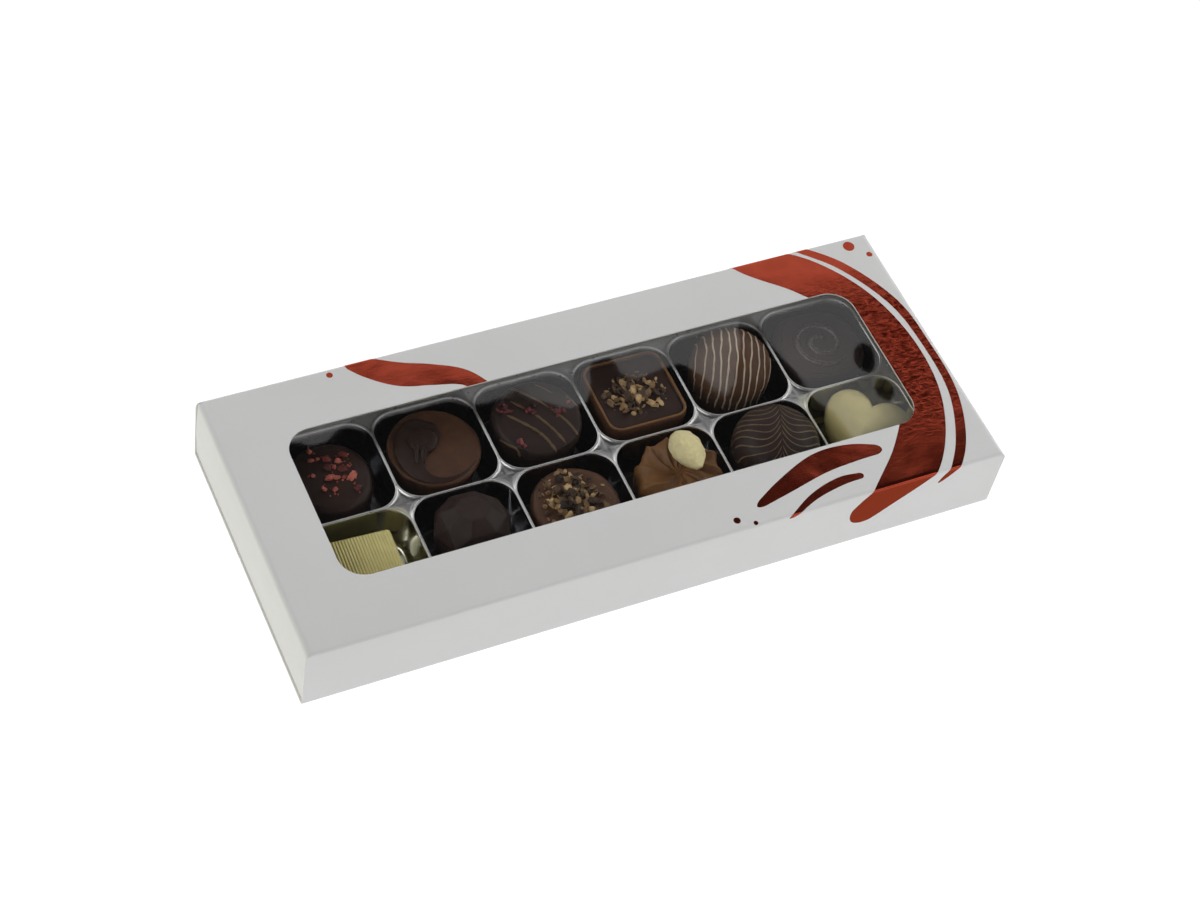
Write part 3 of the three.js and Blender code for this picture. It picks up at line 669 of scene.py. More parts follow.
def carton_shell():
    outer, _ = rounded_rectangle(WIDTH, HEIGHT, FOLD, 8)
    inner, _ = rounded_rectangle(WIDTH - 2 * BOARD, HEIGHT - 2 * BOARD, FOLD - BOARD, 8)
    middle = np.array([0, HEIGHT / 2])
    base = solid("tube", along_x(outer + middle, -LENGTH / 2, LENGTH / 2))
    steps = [("DIFFERENCE", solid("hollow", along_x(inner + middle, -LENGTH / 2 - 5, LENGTH / 2 + 5)))]
    steps.append(("DIFFERENCE", solid("window", window_prism())))
    for side in (-1, 1):
        steps.append(("DIFFERENCE", solid("corner", corner_cut(side))))
    room, _ = rounded_rectangle(2 * (FLAP_INSET + BOARD + 1.6), WIDTH - 2 * BOARD, 0.01, 1)
    for side in (-1, 1):
        notch = moved(prism(room, HEIGHT - 1, HEIGHT + 1), side * LENGTH / 2)
        steps.append(("DIFFERENCE", solid("room", notch)))
        steps.append(("UNION", solid("flap", end_flap(side))))
    made = piece("carton_shell", combined(base, steps), WHITE, ["carton"])
    made.data.materials.append(RAW)
    made.data.materials.append(CREAM)
    for face in made.data.polygons:
        face.material_index = board_face(face)
    by_angle(made, 28)


carton_shell()

# Print: generic foil ribbons and dots, laid over the board and round its folds

ARC = FOLD * math.pi / 2


def wrapped(x, s, lift):
    """A point on the board, s being the way from its long middle towards the back, round the folds"""
    flat = WIDTH / 2 - FOLD
    side = 1 if s >= 0 else -1
    over = abs(s) - flat
    if over <= 0:
        return x, s, HEIGHT + lift
    if over <= ARC:
        angle = over / FOLD
        reach = FOLD + lift + max(lift, 0.0) * 2 * math.sin(2 * angle)
        return x, side * (flat + reach * math.sin(angle)), HEIGHT - FOLD + reach * math.cos(angle)
    return x, side * (WIDTH / 2 + lift), HEIGHT - FOLD - (over - ARC)


def slab(left, right, steps=28, lift=0.03, sunk=0.06):
    """A thin skin between two edges given as (x, s), a little sunk into the board"""
    rings = []
    for a, b in zip(left, right):
        row = [lerp(np.array(a), np.array(b), k / steps) for k in range(steps + 1)]
        rings.append([wrapped(*p, lift) for p in row] + [wrapped(*p, -sunk) for p in row[::-1]])
    return loft(rings)


def ribbon(points, widths, n=380):
    path = spline(points, n)
    width = spline([[w, 0] for w in widths], n)[:, 0]
    ends = np.minimum(np.arange(n), np.arange(n)[::-1]) / 20
    width = width * np.sqrt(np.clip(1 - (1 - np.clip(ends, 0.01, 1)) ** 2, 0.01, 1))
    ahead = np.gradient(path, axis=0)
    ahead /= np.linalg.norm(ahead, axis=1)[:, None]
    normal = np.c_[-ahead[:, 1], ahead[:, 0]] * (width / 2)[:, None]
    return slab(path + normal, path - normal)


def dot(x, s, radius, n=40):
    half = np.sin(np.linspace(-0.49, 0.49, n) * math.pi)
    reach = np.sqrt(np.clip(1 - half**2, 0.0008, 1)) * radius
    path = np.c_[x + radius * half, np.full(n, s)]
    return slab(path + np.c_[np.zeros(n), reach], path - np.c_[np.zeros(n), reach], 6)


# Each ribbon's middle line as (x, s), and its widths along the way
RIBBONS = [
    (
        [(60, 57), (70, 47), (84, 36), (95, 20), (100, 0), (97, -20), (86, -38), (70, -52), (62, -60)],
        (6, 12, 15, 14, 12, 13, 15, 13, 9),
    ),
    (
        [(76, 58), (86, 48), (98, 36), (107, 18), (109, 0), (108, -20), (101, -38), (90, -52)],
        (1.5, 2.5, 3.2, 3.2, 2.6, 2.8, 3.2, 2.4),
    ),
    ([(30, -40.5), (42, -36), (55, -32), (66, -31.5), (76, -33)], (2, 5.5, 7.5, 6.5, 3)),
    ([(38, -47.5), (48, -42.5), (58, -40), (66, -40)], (1.2, 2.4, 3, 2)),
    ([(-66, 47.5), (-60, 43), (-52, 38), (-43, 35), (-34, 31), (-27, 22)], (4, 7.5, 9, 8, 6, 4)),
]
DOTS = [(104, 43, 1.9), (109, 38, 1.0), (22, -43, 1.1), (27, -45.5, 0.7), (-72, 44, 1.0)]


def foil_print():
    shapes = [ribbon(points, widths) for points, widths in RIBBONS]
    shapes += [dot(*spot) for spot in DOTS]
    for k, shape in enumerate(shapes):
        cut = combined(solid("foil", shape), [("DIFFERENCE", solid("window", window_prism(0.02)))])
        by_angle(piece("foil_%d" % (k + 1), cut, FOIL), 40)


foil_print()


# Film: a thin sheet under the top panel, never quite flat


def film_sheet():
    nx, ny = 70, 26
    half_x, half_y = WINDOW[0] / 2 + 5, WINDOW[1] / 2 + 5

    def surface(z):
        rows = []
        for j in range(ny + 1):
            for i in range(nx + 1):
                x, y = lerp(-half_x, half_x, i / nx), lerp(-half_y, half_y, j / ny)
                inside = smooth((WINDOW[0] / 2 - abs(x)) / 8) * smooth((WINDOW[1] / 2 - abs(y)) / 8)
                wave = noise.noise(Vector((x / 26, y / 18, 3.1)))
                wave += 0.5 * noise.noise(Vector((x / 60, y / 40, 9.0)))
                rows.append((x + WINDOW_AT[0], y + WINDOW_AT[1], z + 0.035 * wave * inside))
        return rows

    thick = 0.06
    top = HEIGHT - BOARD - 0.1
    upper, lower = surface(top), surface(top - thick)
    count = len(upper)
    faces = []
    for j in range(ny):
        for i in range(nx):
            a = j * (nx + 1) + i
            b, c, d = a + 1, a + nx + 2, a + nx + 1
            faces.append((a, b, c, d))
            faces.append((a + count, d + count, c + count, b + count))
    rim = [i for i in range(nx + 1)]
    rim += [j * (nx + 1) + nx for j in range(1, ny + 1)]
    rim += [ny * (nx + 1) + i for i in range(nx - 1, -1, -1)]
    rim += [j * (nx + 1) for j in range(ny - 1, 0, -1)]
    for a, b in zip(rim, rim[1:] + rim[:1]):
        faces.append((b, a, a + count, b + count))
    return piece("film_sheet", (upper + lower, faces), FILM, ["window_film"])


film_sheet()


# Tray: one formed sheet, its cells' rims running together into thin lines, with crinkled land between corners


def outside(x, y):
    """How far a point lies outside the nearest cell's opening"""
    best = 1e9
    for row in ("back", "front"):
        for column in range(COLUMNS):
            cx, cy = cell_place(row, column)
            core = OPENING / 2 - CELL_RADIUS
            qx, qy = abs(x - cx) - core, abs(y - cy) - core
            reach = math.hypot(max(qx, 0), max(qy, 0)) + min(max(qx, qy), 0) - CELL_RADIUS
            best = min(best, reach)
    return best


def tray_height(x, y):
    away = outside(x, y)
    z = RIM_Z - 0.14 * (1 - min(away / 0.22, 1)) ** 2
    z -= (RIM_Z - LAND_Z) * smooth((away - 0.5) / 0.7)
    inner = min(COLUMNS * PITCH / 2 - abs(x - TRAY_AT[0]), PITCH - abs(y - TRAY_AT[1]))
    crease = smooth((away - 0.8) / 1.2) * (0.12 + 0.88 * smooth(inner + 0.5))
    if crease > 0:
        ridge = 0.5 - abs(noise.noise(Vector((x / 1.7, y / 1.7, 4.0))))
        z += crease * (0.26 * (ridge - 0.35) + 0.1 * noise.noise(Vector((x / 0.8, y / 0.8, 1.0))))
    return z


TILE_ARC, TILE_SIDE = 14, 12


def tile_border():
    """Points on a tile's square border, one for each point of its opening"""
    half, core = PITCH / 2, OPENING / 2 - CELL_RADIUS
    outer = []
    for corner, (sx, sy) in enumerate(CORNERS):
        odd = corner % 2
        for i in range(TILE_ARC + 1):
            t = 2 * i / TILE_ARC
            first, second = min(t, 1.0), max(t - 1, 0.0)
            x, y = lerp(half, core, second), lerp(core, half, first)
            if odd:
                x, y = lerp(core, half, first), lerp(half, core, second)
            outer.append((sx * x, sy * y))
        tx, ty = CORNERS[(corner + 1) % 4]
        start = np.array(outer[-1])
        end = np.array([tx * (half if odd else core), ty * (core if odd else half)])
        for i in range(1, TILE_SIDE):
            outer.append(tuple(lerp(start, end, i / TILE_SIDE)))
    return np.array(outer)


def tray_tile(cx, cy):
    """One cell: the land out to the tile's border, the dented wall, the rounded foot and the floor"""
    points, _ = rounded_rectangle(OPENING, OPENING, CELL_RADIUS, TILE_ARC, TILE_SIDE)
    outer = tile_border()
    rings = []
    for share in (1, 0.85, 0.7, 0.55, 0.42, 0.32, 0.25, 0.19, 0.13, 0.08, 0.04, 0):
        ring = lerp(points, outer, share)
        rings.append([(cx + x, cy + y, tray_height(cx + x, cy + y)) for x, y in ring])
    depth = RIM_Z - FLOOR_Z
    lean = (OPENING - FLOOR_WIDTH) / 2

    def wall(z, inset=0.0):
        shrink = lean * (RIM_Z - z) / depth + inset
        across = OPENING - 2 * shrink
        ring, normals = rounded_rectangle(across, across, CELL_RADIUS - 0.4 * shrink, TILE_ARC, TILE_SIDE)
        placed_ring = []
        for (x, y), normal in zip(ring, normals):
            dent = 0.035 * noise.noise(Vector(((cx + x) / 5, (cy + y) / 5, z / 14))) * min(1, (RIM_Z - z) / 3)
            placed_ring.append((cx + x + normal[0] * dent, cy + y + normal[1] * dent, z))
        return placed_ring

    for z in (15.6, 15.1, 14, 12, 10, 8, 6, 4.4, 3.1):
        rings.append(wall(z))
    for i in range(1, 7):
        angle = i / 6 * math.pi / 2
        rings.append(wall(3.1 - 1.75 * math.sin(angle), 1.75 * (1 - math.cos(angle))))
    ring = np.array(rings[-1])
    middle = np.array([cx, cy, FLOOR_Z])
    for share in (0.85, 0.6, 0.35, 0.12):
        rings.append(lerp(middle, ring, share))
    return loft(rings, (False, True))


def tray_flange():
    """The land round the cells, out to the tray's edge"""
    core, half, middle = OPENING / 2 - CELL_RADIUS, PITCH / 2, TILE_ARC // 2

    def stations(centres):
        marks = set()
        for c in centres:
            for i in range(middle + 1):
                step = lerp(core, half, i / middle)
                marks.update((round(c + step, 5), round(c - step, 5)))
            for i in range(TILE_SIDE + 1):
                marks.add(round(c + lerp(-core, core, i / TILE_SIDE), 5))
        return sorted(marks)

    xs = stations([cell_place("back", column)[0] for column in range(COLUMNS)])
    ys = stations([cell_place(row, 0)[1] for row in ("front", "back")])
    offsets = [0.2, 0.45, 0.7, 1.0, 1.4, 2, 2.7, 3.5, 4.4, 5.4, 6.6, 8, 9.6]
    left, right = TRAY_AT[0] - TRAY_SIZE[0] / 2, TRAY_AT[0] + TRAY_SIZE[0] / 2
    low, high = TRAY_AT[1] - TRAY_SIZE[1] / 2, TRAY_AT[1] + TRAY_SIZE[1] / 2
    all_x = [left] + [xs[0] - o for o in offsets[::-1]] + xs + [xs[-1] + o for o in offsets] + [right]
    all_y = [low] + [ys[0] - o for o in offsets[::-1]] + ys + [ys[-1] + o for o in offsets] + [high]
    index, vertices, faces = {}, [], []

    def corner(i, j):
        if (i, j) not in index:
            x, y = all_x[i], all_y[j]
            index[i, j] = len(vertices)
            vertices.append((x, y, tray_height(x, y)))
        return index[i, j]

    for i in range(len(all_x) - 1):
        for j in range(len(all_y) - 1):
            x, y = (all_x[i] + all_x[i + 1]) / 2, (all_y[j] + all_y[j + 1]) / 2
            if xs[0] < x < xs[-1] and ys[0] < y < ys[-1]:
                continue
            faces.append((corner(i, j), corner(i + 1, j), corner(i + 1, j + 1), corner(i, j + 1)))
    return vertices, faces


def tray_shell():
    parts = [tray_flange()]
    for row in ("back", "front"):
        for column in range(COLUMNS):
            parts.append(tray_tile(*cell_place(row, column)))
    made = piece("tray_shell", joined(parts), SILVER, ["tray"])
    mesh = bmesh.new()
    mesh.from_mesh(made.data)
    bmesh.ops.remove_doubles(mesh, verts=mesh.verts, dist=2e-6)
    bmesh.ops.recalc_face_normals(mesh, faces=mesh.faces)
    up = sum(1 if f.normal.z > 0 else -1 for f in mesh.faces if abs(f.normal.z) > 0.9)
    if up < 0:
        bmesh.ops.reverse_faces(mesh, faces=mesh.faces)
    mesh.to_mesh(made.data)
    mesh.free()
    made.data.polygons.foreach_set("use_smooth", [True] * len(made.data.polygons))
    thick = made.modifiers.new("sheet", "SOLIDIFY")
    thick.thickness = 0.3 * MM
    thick.offset = -1


tray_shell()


# Pralines of the back row


# Raspberry chunks: place, size and length
CHUNKS = [
    (-2.7, 10.1, 1.9, 1.0), (-3.5, 6.6, 1.9, 1.0), (-5.0, 1.1, 1.5, 1.2), (-1.5, 6.4, 1.2, 1.0),
    (1.0, 5.4, 2.5, 1.0), (-0.3, 2.3, 2.7, 1.2), (1.9, 2.0, 1.7, 1.0), (3.8, 3.8, 2.1, 1.3),
    (5.9, 5.9, 2.3, 1.1), (7.0, 5.2, 1.0, 1.0), (3.8, 0.4, 2.4, 1.4), (6.4, 1.1, 1.1, 1.0),
    (5.9, -2.5, 2.6, 1.8), (3.3, -2.3, 1.4, 1.0), (-1.0, -1.6, 2.3, 1.7), (1.3, -1.9, 1.9, 1.4),
    (6.0, -6.8, 2.1, 1.4), (-3.5, -4.7, 2.0, 1.0), (-0.7, -5.6, 2.1, 1.1),
]
CHUNK_TURNS = {12: 50, 14: 5, 15: -10, 10: -35, 7: 0, 16: 25}


def turned_body(outline, bend, crown):
    """A lathed body: the outline with its corners rounded, then the crown's points"""
    return lathe(list(rounded(outline, bend)) + crown)


def raspberry_praline():
    at = seat("back", 0, -0.2, 1.0)

    def top(r):
        return 14.5 - 1.9 * (r / 12) ** 3

    outline = [(0.02, STAND_Z), (12.6, STAND_Z), (13.3, 9.4), (12.9, 12.0), (11.4, 13.2), (10, top(10))]
    body = turned_body(outline, 1.2, [(r, top(r)) for r in np.linspace(9.6, 0.2, 18)])
    uneven(piece("low_dome", at(body), DARK, ["praline_back_1"]), 0.3, 9.0, 2.0)
    draw = np.random.default_rng(5)
    bits = []
    for k, (sx, sy, size, long) in enumerate(CHUNKS):
        shape = stone(draw, size * 0.86, long, 0.75, 13, 9.0, 3, 0.5)
        turn = CHUNK_TURNS.get(k, draw.uniform(0, 180))
        height = top(math.hypot(sx, sy)) + 0.16 * size
        bits.append(moved(shape, sx, sy, height, turn, draw.uniform(-15, 15)))
        for _ in range(3):
            px, py = sx + draw.normal(0, size * 0.5), sy + draw.normal(0, size * 0.5)
            small = draw.uniform(0.35, 0.85)
            spot = Vector((px, py, top(math.hypot(px, py)) + 0.15 * small))
            bits.append(tumbled(stone(draw, small, 1.2, 0.7, 9, 7.0, 1), draw, spot))
    crumbs("raspberry_bits", at, bits, draw, BERRY)
    grain = tumbled(stone(draw, 0.55, 1.0, 0.8, 8, 9.0, 1), draw, Vector((-2.6, -7.2, top(7.6) + 0.1)))
    crumbs("white_grain", at, [grain], draw, WHITE_LINE)


raspberry_praline()

CUP_TOP = 13.9


COMMA_OUTER = [
    (0.6, 10.7), (-3.0, 11.5), (-6.8, 10.3), (-9.9, 7.5), (-11.6, 3.4), (-12.3, -1.0), (-11.7, -5.6),
    (-9.8, -9.3), (-6.5, -12.2), (-2.0, -13.7), (3.2, -13.5), (8.3, -11.0), (11.9, -7.4),
]
COMMA_INNER = [
    (1.7, 9.8), (3.4, 7.6), (3.7, 4.6), (2.4, 1.7), (0.0, -0.2), (-2.5, -1.6), (-4.3, -3.6),
    (-5.3, -6.4), (-4.6, -9.3), (-1.6, -11.4), (3.0, -11.6), (7.4, -10.0), (11.2, -7.2),
]


# The comma's cross-section: share of the way over, and of the height
COMMA_SECTION = [
    (0, 0), (0, 0.5), (0.025, 0.85), (0.07, 1.0), (0.13, 1.0), (0.2, 0.88), (0.35, 0.8), (0.5, 0.8),
    (0.65, 0.82), (0.8, 0.92), (0.89, 1.0), (0.95, 0.92), (0.985, 0.6), (1, 0),
]
DRIPS = (
    ([(-4.9, 1.4, 0.75), (-6.1, -0.9, 0.5), (-6.9, -3.2, 0.25), (-7.3, -4.6, 0.1)], 1.2),
    ([(-3.4, 0.5, 0.7), (-4.5, -1.7, 0.4), (-5.2, -3.7, 0.2), (-5.6, -5.6, 0.05)], 1.1),
    ([(-1.2, 0.3, 0.5), (-2.8, -0.7, 0.3), (-4.0, -2.2, 0.1)], 0.9),
)


def milk_cup(at):
    edge = [(14.2, 12.6), (14.15, 13.7), (13.5, CUP_TOP + 0.06), (12.9, CUP_TOP - 0.1)]
    crown = [(r, CUP_TOP - 0.1 - 0.12 * (1 - (r / 12.9) ** 2)) for r in np.linspace(12.2, 0.2, 16)]
    body = turned_body([(0.02, STAND_Z), (12.3, STAND_Z)] + edge, 0.7, crown)
    uneven(piece("milk_cup", at(body), MILK_DEEP, ["praline_back_2"]), 0.22, 8.0, 5.0)


def comma_tail(base, count=110):
    """The comma's body, swept between its two traced edges, with folds near the head"""
    outer, inner = spline(COMMA_OUTER, count), spline(COMMA_INNER, count)
    rings = []
    for k in range(count):
        t = k / (count - 1)
        width = np.linalg.norm(outer[k] - inner[k])
        high = 0.5 + 0.95 * min(1.0, width / 4) * min(1, 6 * (1 - t) + 0.1) * min(1, 5 * t + 0.35)
        ring = []
        for across, up in COMMA_SECTION:
            p = lerp(outer[k], inner[k], across)
            fold = 0.22 * math.sin(9 * across + 3.2 * p[1] * 0.5) * math.exp(-(((t - 0.12) / 0.12) ** 2))
            if not 0.1 < across < 0.9:
                fold = 0
            soft = 0.16 * noise.noise(Vector((p[0] / 3, p[1] / 3, 2.0)))
            low = 0.9 * max(0.0, np.linalg.norm(p) - 13.0)
            ring.append((*p, base + high * up + (soft + fold) * up - low))
        rings.append(ring[::-1])
    return loft(rings)


def cup_praline():
    at = seat("back", 1, 0.1, 1.1)
    milk_cup(at)
    base, top = CUP_TOP - 0.5, CUP_TOP + 0.85
    head = [(0.02, base), (4.3, base), (4.45, top - 0.1), (4.1, top + 0.5)]
    head = rounded(head + [(3.3, top + 0.72), (2.4, top + 0.5), (0.1, top + 0.3)], 0.5)
    core = rounded([(0.02, base), (2.1, base), (2.2, top + 0.35), (1.5, top + 0.75), (0.1, top + 0.85)], 0.6)
    shapes = [comma_tail(base), moved(lathe(head, 64), -2.6, 2.9), moved(lathe(core, 48), -3.1, 3.6)]
    for points, thick in DRIPS:
        path = spline([(px, py, top + pz) for px, py, pz in points], 34)
        width, height = np.linspace(1.3, 0.7, 34) * thick, np.linspace(1.2, 0.6, 34)
        shapes.append(strand(path, [(0, 0, 1)] * 34, width, height, 12, 5))
    for px, py, size in ((-5.3, 0.3, 1.0), (-3.9, -0.4, 0.8)):
        draw = np.random.default_rng(3)
        lump = stone(draw, size * 1.6, 1.1, 0.8, 30, 6.0, 3, 0.02)
        shapes.append(tumbled(lump, draw, Vector((px, py, top + 0.65))))
    piece("dark_comma", at(joined(shapes)), DARK, ["comma_back_2"])


cup_praline()

DRUM_TOP = 16.4
# Caramel lines: their way over the drum, and how thick
CARAMEL_WAYS = [
    ([(-14.6, -3.4), (-12.6, -6.6), (-10.6, -9.2), (-10.9, -11.6)], 1.0),
    ([(-8.9, 2.9), (-6.2, -0.6), (-3.0, -4.9), (-1.2, -8.4), (-0.3, -11.4), (0.5, -14.2)], 1.1),
    ([(-5.9, 7.6), (-1.1, 0.7), (1.1, -3.6), (2.9, -7.8), (4.2, -12.2)], 0.95),
    ([(-4.1, 13.1), (-1.2, 9.6), (1.3, 6.3), (4.8, 0.5), (7.5, -4.7), (8.8, -9.0), (9.4, -10.6)], 1.0),
    ([(3.9, 11.2), (5.8, 8.9), (7.4, 6.5)], 0.7),
    ([(11.2, 4.6), (12.6, 1.6), (13.6, -0.8)], 0.85),
]
# Clusters of berry bits: place, spread and count
CLUSTERS = [
    (-9.2, 5.2, 1.5, 17), (-2.3, 2.1, 1.3, 13), (0.6, 3.7, 0.6, 4), (6.4, -0.5, 1.5, 15), (10.4, 1.6, 0.7, 5),
    (-9.3, -8.0, 1.5, 16),
]


def drum_height(r):
    return DRUM_TOP - 0.75 * (r / 12) ** 2


def wobble(count, step, *seed):
    """Soft noise along a line"""
    return np.array([noise.noise(Vector((step * i, *seed))) for i in range(count)])


def on_drum(spot, edge=12.6):
    """Place and normal of the drum's skin at a flat spot; beyond the edge it bends down the side"""
    reach = np.linalg.norm(spot)
    if reach <= edge:
        return (*spot, drum_height(reach)), (0, 0, 1)
    out, over = spot / reach, reach - edge
    angle = min(over / 1.2, math.pi / 2)
    ring = edge - 0.15 + 1.4 * math.sin(angle)
    z = drum_height(edge) - 0.1 - 1.6 * (1 - math.cos(angle)) - 1.6 * max(0.0, over - 1.88)
    return (*(out * ring), z), (*(out * math.sin(angle)), math.cos(angle) + 0.05)


def drum_praline():
    at = seat("back", 2, 1.0, 1.3)
    foot = [(0.02, STAND_Z), (12.2, STAND_Z), (13.9, 11.5)]
    edge = [(13.75, 14.2), (13.1, 15.4), (11.6, drum_height(11.6))]
    body = turned_body(foot + edge, 0.9, [(r, drum_height(r)) for r in np.linspace(11, 0.2, 16)])
    uneven(piece("dark_drum", at(body), DARK_SATIN, ["praline_back_3"]), 0.3, 10.0, 8.0)
    lines = []
    for k, (points, thick) in enumerate(CARAMEL_WAYS):
        path, normals = zip(*[on_drum(spot) for spot in spline(points, 50)])
        swell = thick * (0.9 + 0.4 * wobble(len(path), 0.33, 7.0 * k, 0))
        lines.append(strand(path, normals, swell, 0.42, 8))
    piece("caramel_lines", at(joined(lines)), CARAMEL_LINE)
    draw = np.random.default_rng(17)
    bits = []
    for sx, sy, spread, count in CLUSTERS:
        for _ in range(count):
            px, py = sx + draw.normal(0, spread * 0.6), sy + draw.normal(0, spread * 0.6)
            reach = math.hypot(px, py)
            if reach > 12.4:
                px, py = px * 12.4 / reach, py * 12.4 / reach
            size = draw.uniform(0.6, 1.5)
            spot = Vector((px, py, drum_height(min(reach, 12.4)) + 0.22 * size))
            bits.append(tumbled(stone(draw, size, 1.15, 0.7, 10, 8.0, 2, 0.12), draw, spot, 0.6))
    crumbs("berry_bits", at, bits, draw, BERRY_DARK)


drum_praline()

SHELL_TOP = 16.2
INSET_TOP = SHELL_TOP - 0.55


def square_rings(profile, radius_of):
    """Rounded squares, given as half widths and heights"""
    rings = []
    for half, z in profile:
        outline, _ = rounded_rectangle(2 * half, 2 * half, radius_of(half), 10, 8)
        rings.append(level(outline, z))
    return loft(rings)


def nib(draw, size, flat, spot, tilt):
    """A splintered nib"""
    shape = stone(draw, size, draw.uniform(1.0, 1.7), draw.uniform(*flat), 8, 26.0, 3, 0.1)
    return tumbled(shape, draw, spot, tilt)


def square_praline():
    at = seat("back", 3, 0.6, 0.8)
    outer = [(12.0, STAND_Z), (12.7, STAND_Z + 0.1), (13.4, 15.0), (13.3, 15.9)]
    lip = [(12.9, SHELL_TOP + 0.05), (12.3, 15.95), (12.1, 15.3), (12.08, 14.2)]
    shell = square_rings(rounded(outer + lip, 0.5, 5), lambda half: 4.1 * half / 13.4 if half > 12.2 else 3.0)
    uneven(piece("square_shell", at(shell), MILK_DEEP, ["praline_back_4"]), 0.22, 7.0, 12.0)
    outline, _ = rounded_rectangle(25.5, 25.5, 3.9, 10, 8)
    path = level(np.vstack([outline, outline[:1]]), SHELL_TOP - 0.02)
    edge = strand(path, [(0, 0, 1)] * len(path), 0.75, 0.34, 8, 1)
    piece("shell_edge", at(edge), MILK_PIPED)
    top = INSET_TOP
    skirt = [(12.06, 14.1), (12.2, top - 0.1), (11.8, top + 0.02), (11.2, top - 0.02)]
    inset = square_rings(skirt + [(9, top), (5, top), (2, top)], lambda half: 3.1 * half / 12.1)
    uneven(piece("dark_inset", at(inset), DARK, ["inset_back_4"]), 0.12, 5.0, 3.0)
    draw = np.random.default_rng(29)
    bits = []
    for sx, sy in scatter(draw, 85, 9.6, 1.05, 0.75):
        near = 1 - math.hypot(sx, sy) / 10
        size = draw.uniform(0.8, 1.7) + 1.3 * near * draw.random()
        height = top + 0.28 * size * draw.uniform(0.7, 1.2) + 0.9 * near * draw.random()
        bits.append(nib(draw, size, (0.2, 0.5), Vector((sx * 1.05 - 0.6, sy * 0.8 - 0.9, height)), 0.9))
    for sx, sy in scatter(draw, 70, 10.4, 0.6, 0.6):
        size = draw.uniform(0.35, 0.9)
        spot = Vector((sx - 0.3, sy * 0.85 - 0.6, top + 0.2 * size))
        bits.append(tumbled(stone(draw, size, 1.1, 0.6, 9, 10.0, 1), draw, spot))
    crumbs("nibs_on_square", at, bits, draw, NIB)


square_praline()


def cap_height(radius, reach, middle, top, power):
    share = max(0.0, 1 - min(1.0, radius / reach) ** power)
    return middle + (top - middle) * share ** (1 / power)


def dome_profile(base, reach, middle, top, power):
    lower = rounded([(0.02, STAND_Z), (base, STAND_Z), (reach * 0.985, middle - 4.5), (reach, middle)], 1.4)
    upper = []
    for t in np.linspace(0.02, 1, 28):
        radius = reach * math.cos(t * math.pi / 2)
        upper.append((radius, cap_height(radius, reach, middle, top, power)))
    return list(lower) + upper


def on_dome(spot, shape):
    """Place and normal of the dome's skin at a flat spot; beyond the rim it runs down the side"""
    reach, middle, *_ = shape
    radius = np.linalg.norm(spot)
    if radius < reach - 0.02:
        far, near = radius + 0.05, max(radius - 0.05, 0)
        slope = (cap_height(far, *shape) - cap_height(near, *shape)) / (far - near)
        out = spot / max(radius, 1e-6)
        normal = np.array([-slope * out[0], -slope * out[1], 1.0])
        return (*spot, cap_height(radius, *shape)), normal / np.linalg.norm(normal)
    out = spot / radius
    down = radius - reach + 0.02
    wall = reach * (1 - 0.0035 * down)
    return (*(out * wall), middle - down), np.array([*out, 0.03])


def dome_axes(turn):
    """Across and along the lines of a dome, turned by an angle from X"""
    across = np.array([math.cos(turn), -math.sin(turn)])
    return across, np.array([-across[1], across[0]])


def striped_dome():
    at = seat("back", 4, 2.2, 2.3)
    shape = reach, *_ = 12.8, 13.2, 23.3, 2.15
    body = lathe(dome_profile(11.6, *shape))
    piece("milk_dome", at(body), MILK, ["praline_back_5"])
    across, along = dome_axes(0.42)
    stripes = []
    for k in range(11):
        offset = -11.4 + 2.35 * k
        limit = math.sqrt(max(1.0, (reach + 0.3) ** 2 - offset**2))
        path, normals = [], []
        for t in np.linspace(-limit - 6.5, limit + 1.5, 90):
            wave = 0.26 * math.sin(0.33 * t + 1.9 * k) + 0.1 * math.sin(0.95 * t + 2.3 * k)
            inner = min(max(t, -limit), limit)
            spot = across * (offset + wave) + along * inner
            beyond = abs(t) - abs(inner)
            if beyond > 0:
                spot = spot / np.linalg.norm(spot) * (reach + beyond)
            place, normal = on_dome(spot, shape)
            path.append(place)
            normals.append(normal)
        stripes.append(strand(path, normals, 0.55 + 0.2 * wobble(len(path), 0.25, 4.0 * k, 5), 0.26, 8))
    piece("white_stripes", at(joined(stripes)), WHITE_LINE)


striped_dome()


def curl_praline():
    at = seat("back", 5, 0.8, 1.2)
    foot = [(12.4, STAND_Z), (13.2, STAND_Z + 0.3), (13.8, 10.6), (13.6, 12.9)]
    profile = list(rounded(foot + [(12.5, 14.1), (11.0, 14.45), (8, 14.7)], 0.9))
    profile += [(r, 14.85 - 0.15 * (r / 8) ** 2) for r in np.linspace(7, 0.3, 10)]
    body = loft([level(super_ellipse(r, 2.7), z) for r, z in profile])
    made = piece("rounded_square", at(body), DARK_SATIN, ["praline_back_6"])
    uneven(made, 0.3, 9.0, 51.0)
    path = []
    for t in np.linspace(0, 1, 120):
        angle, reach = 0.6 + 1.75 * TURN * t, lerp(1.2, 9.3, t**0.85)
        path.append((reach * math.cos(angle), reach * math.sin(angle), 14.8 - 0.03 * reach))
    curl = strand(path, [(0, 0, 1)] * 120, np.linspace(2.4, 1.9, 120), 2.1, 16, 8)
    piece("spiral_curl", at(curl), DARK_GLOSS)


curl_praline()


# Pralines of the front row


# One ridge: share of its width, and height
RIDGE = ((0.0, -0.34), (0.16, -0.15), (0.34, -0.03), (0.5, 0.0), (0.66, -0.03), (0.84, -0.15))


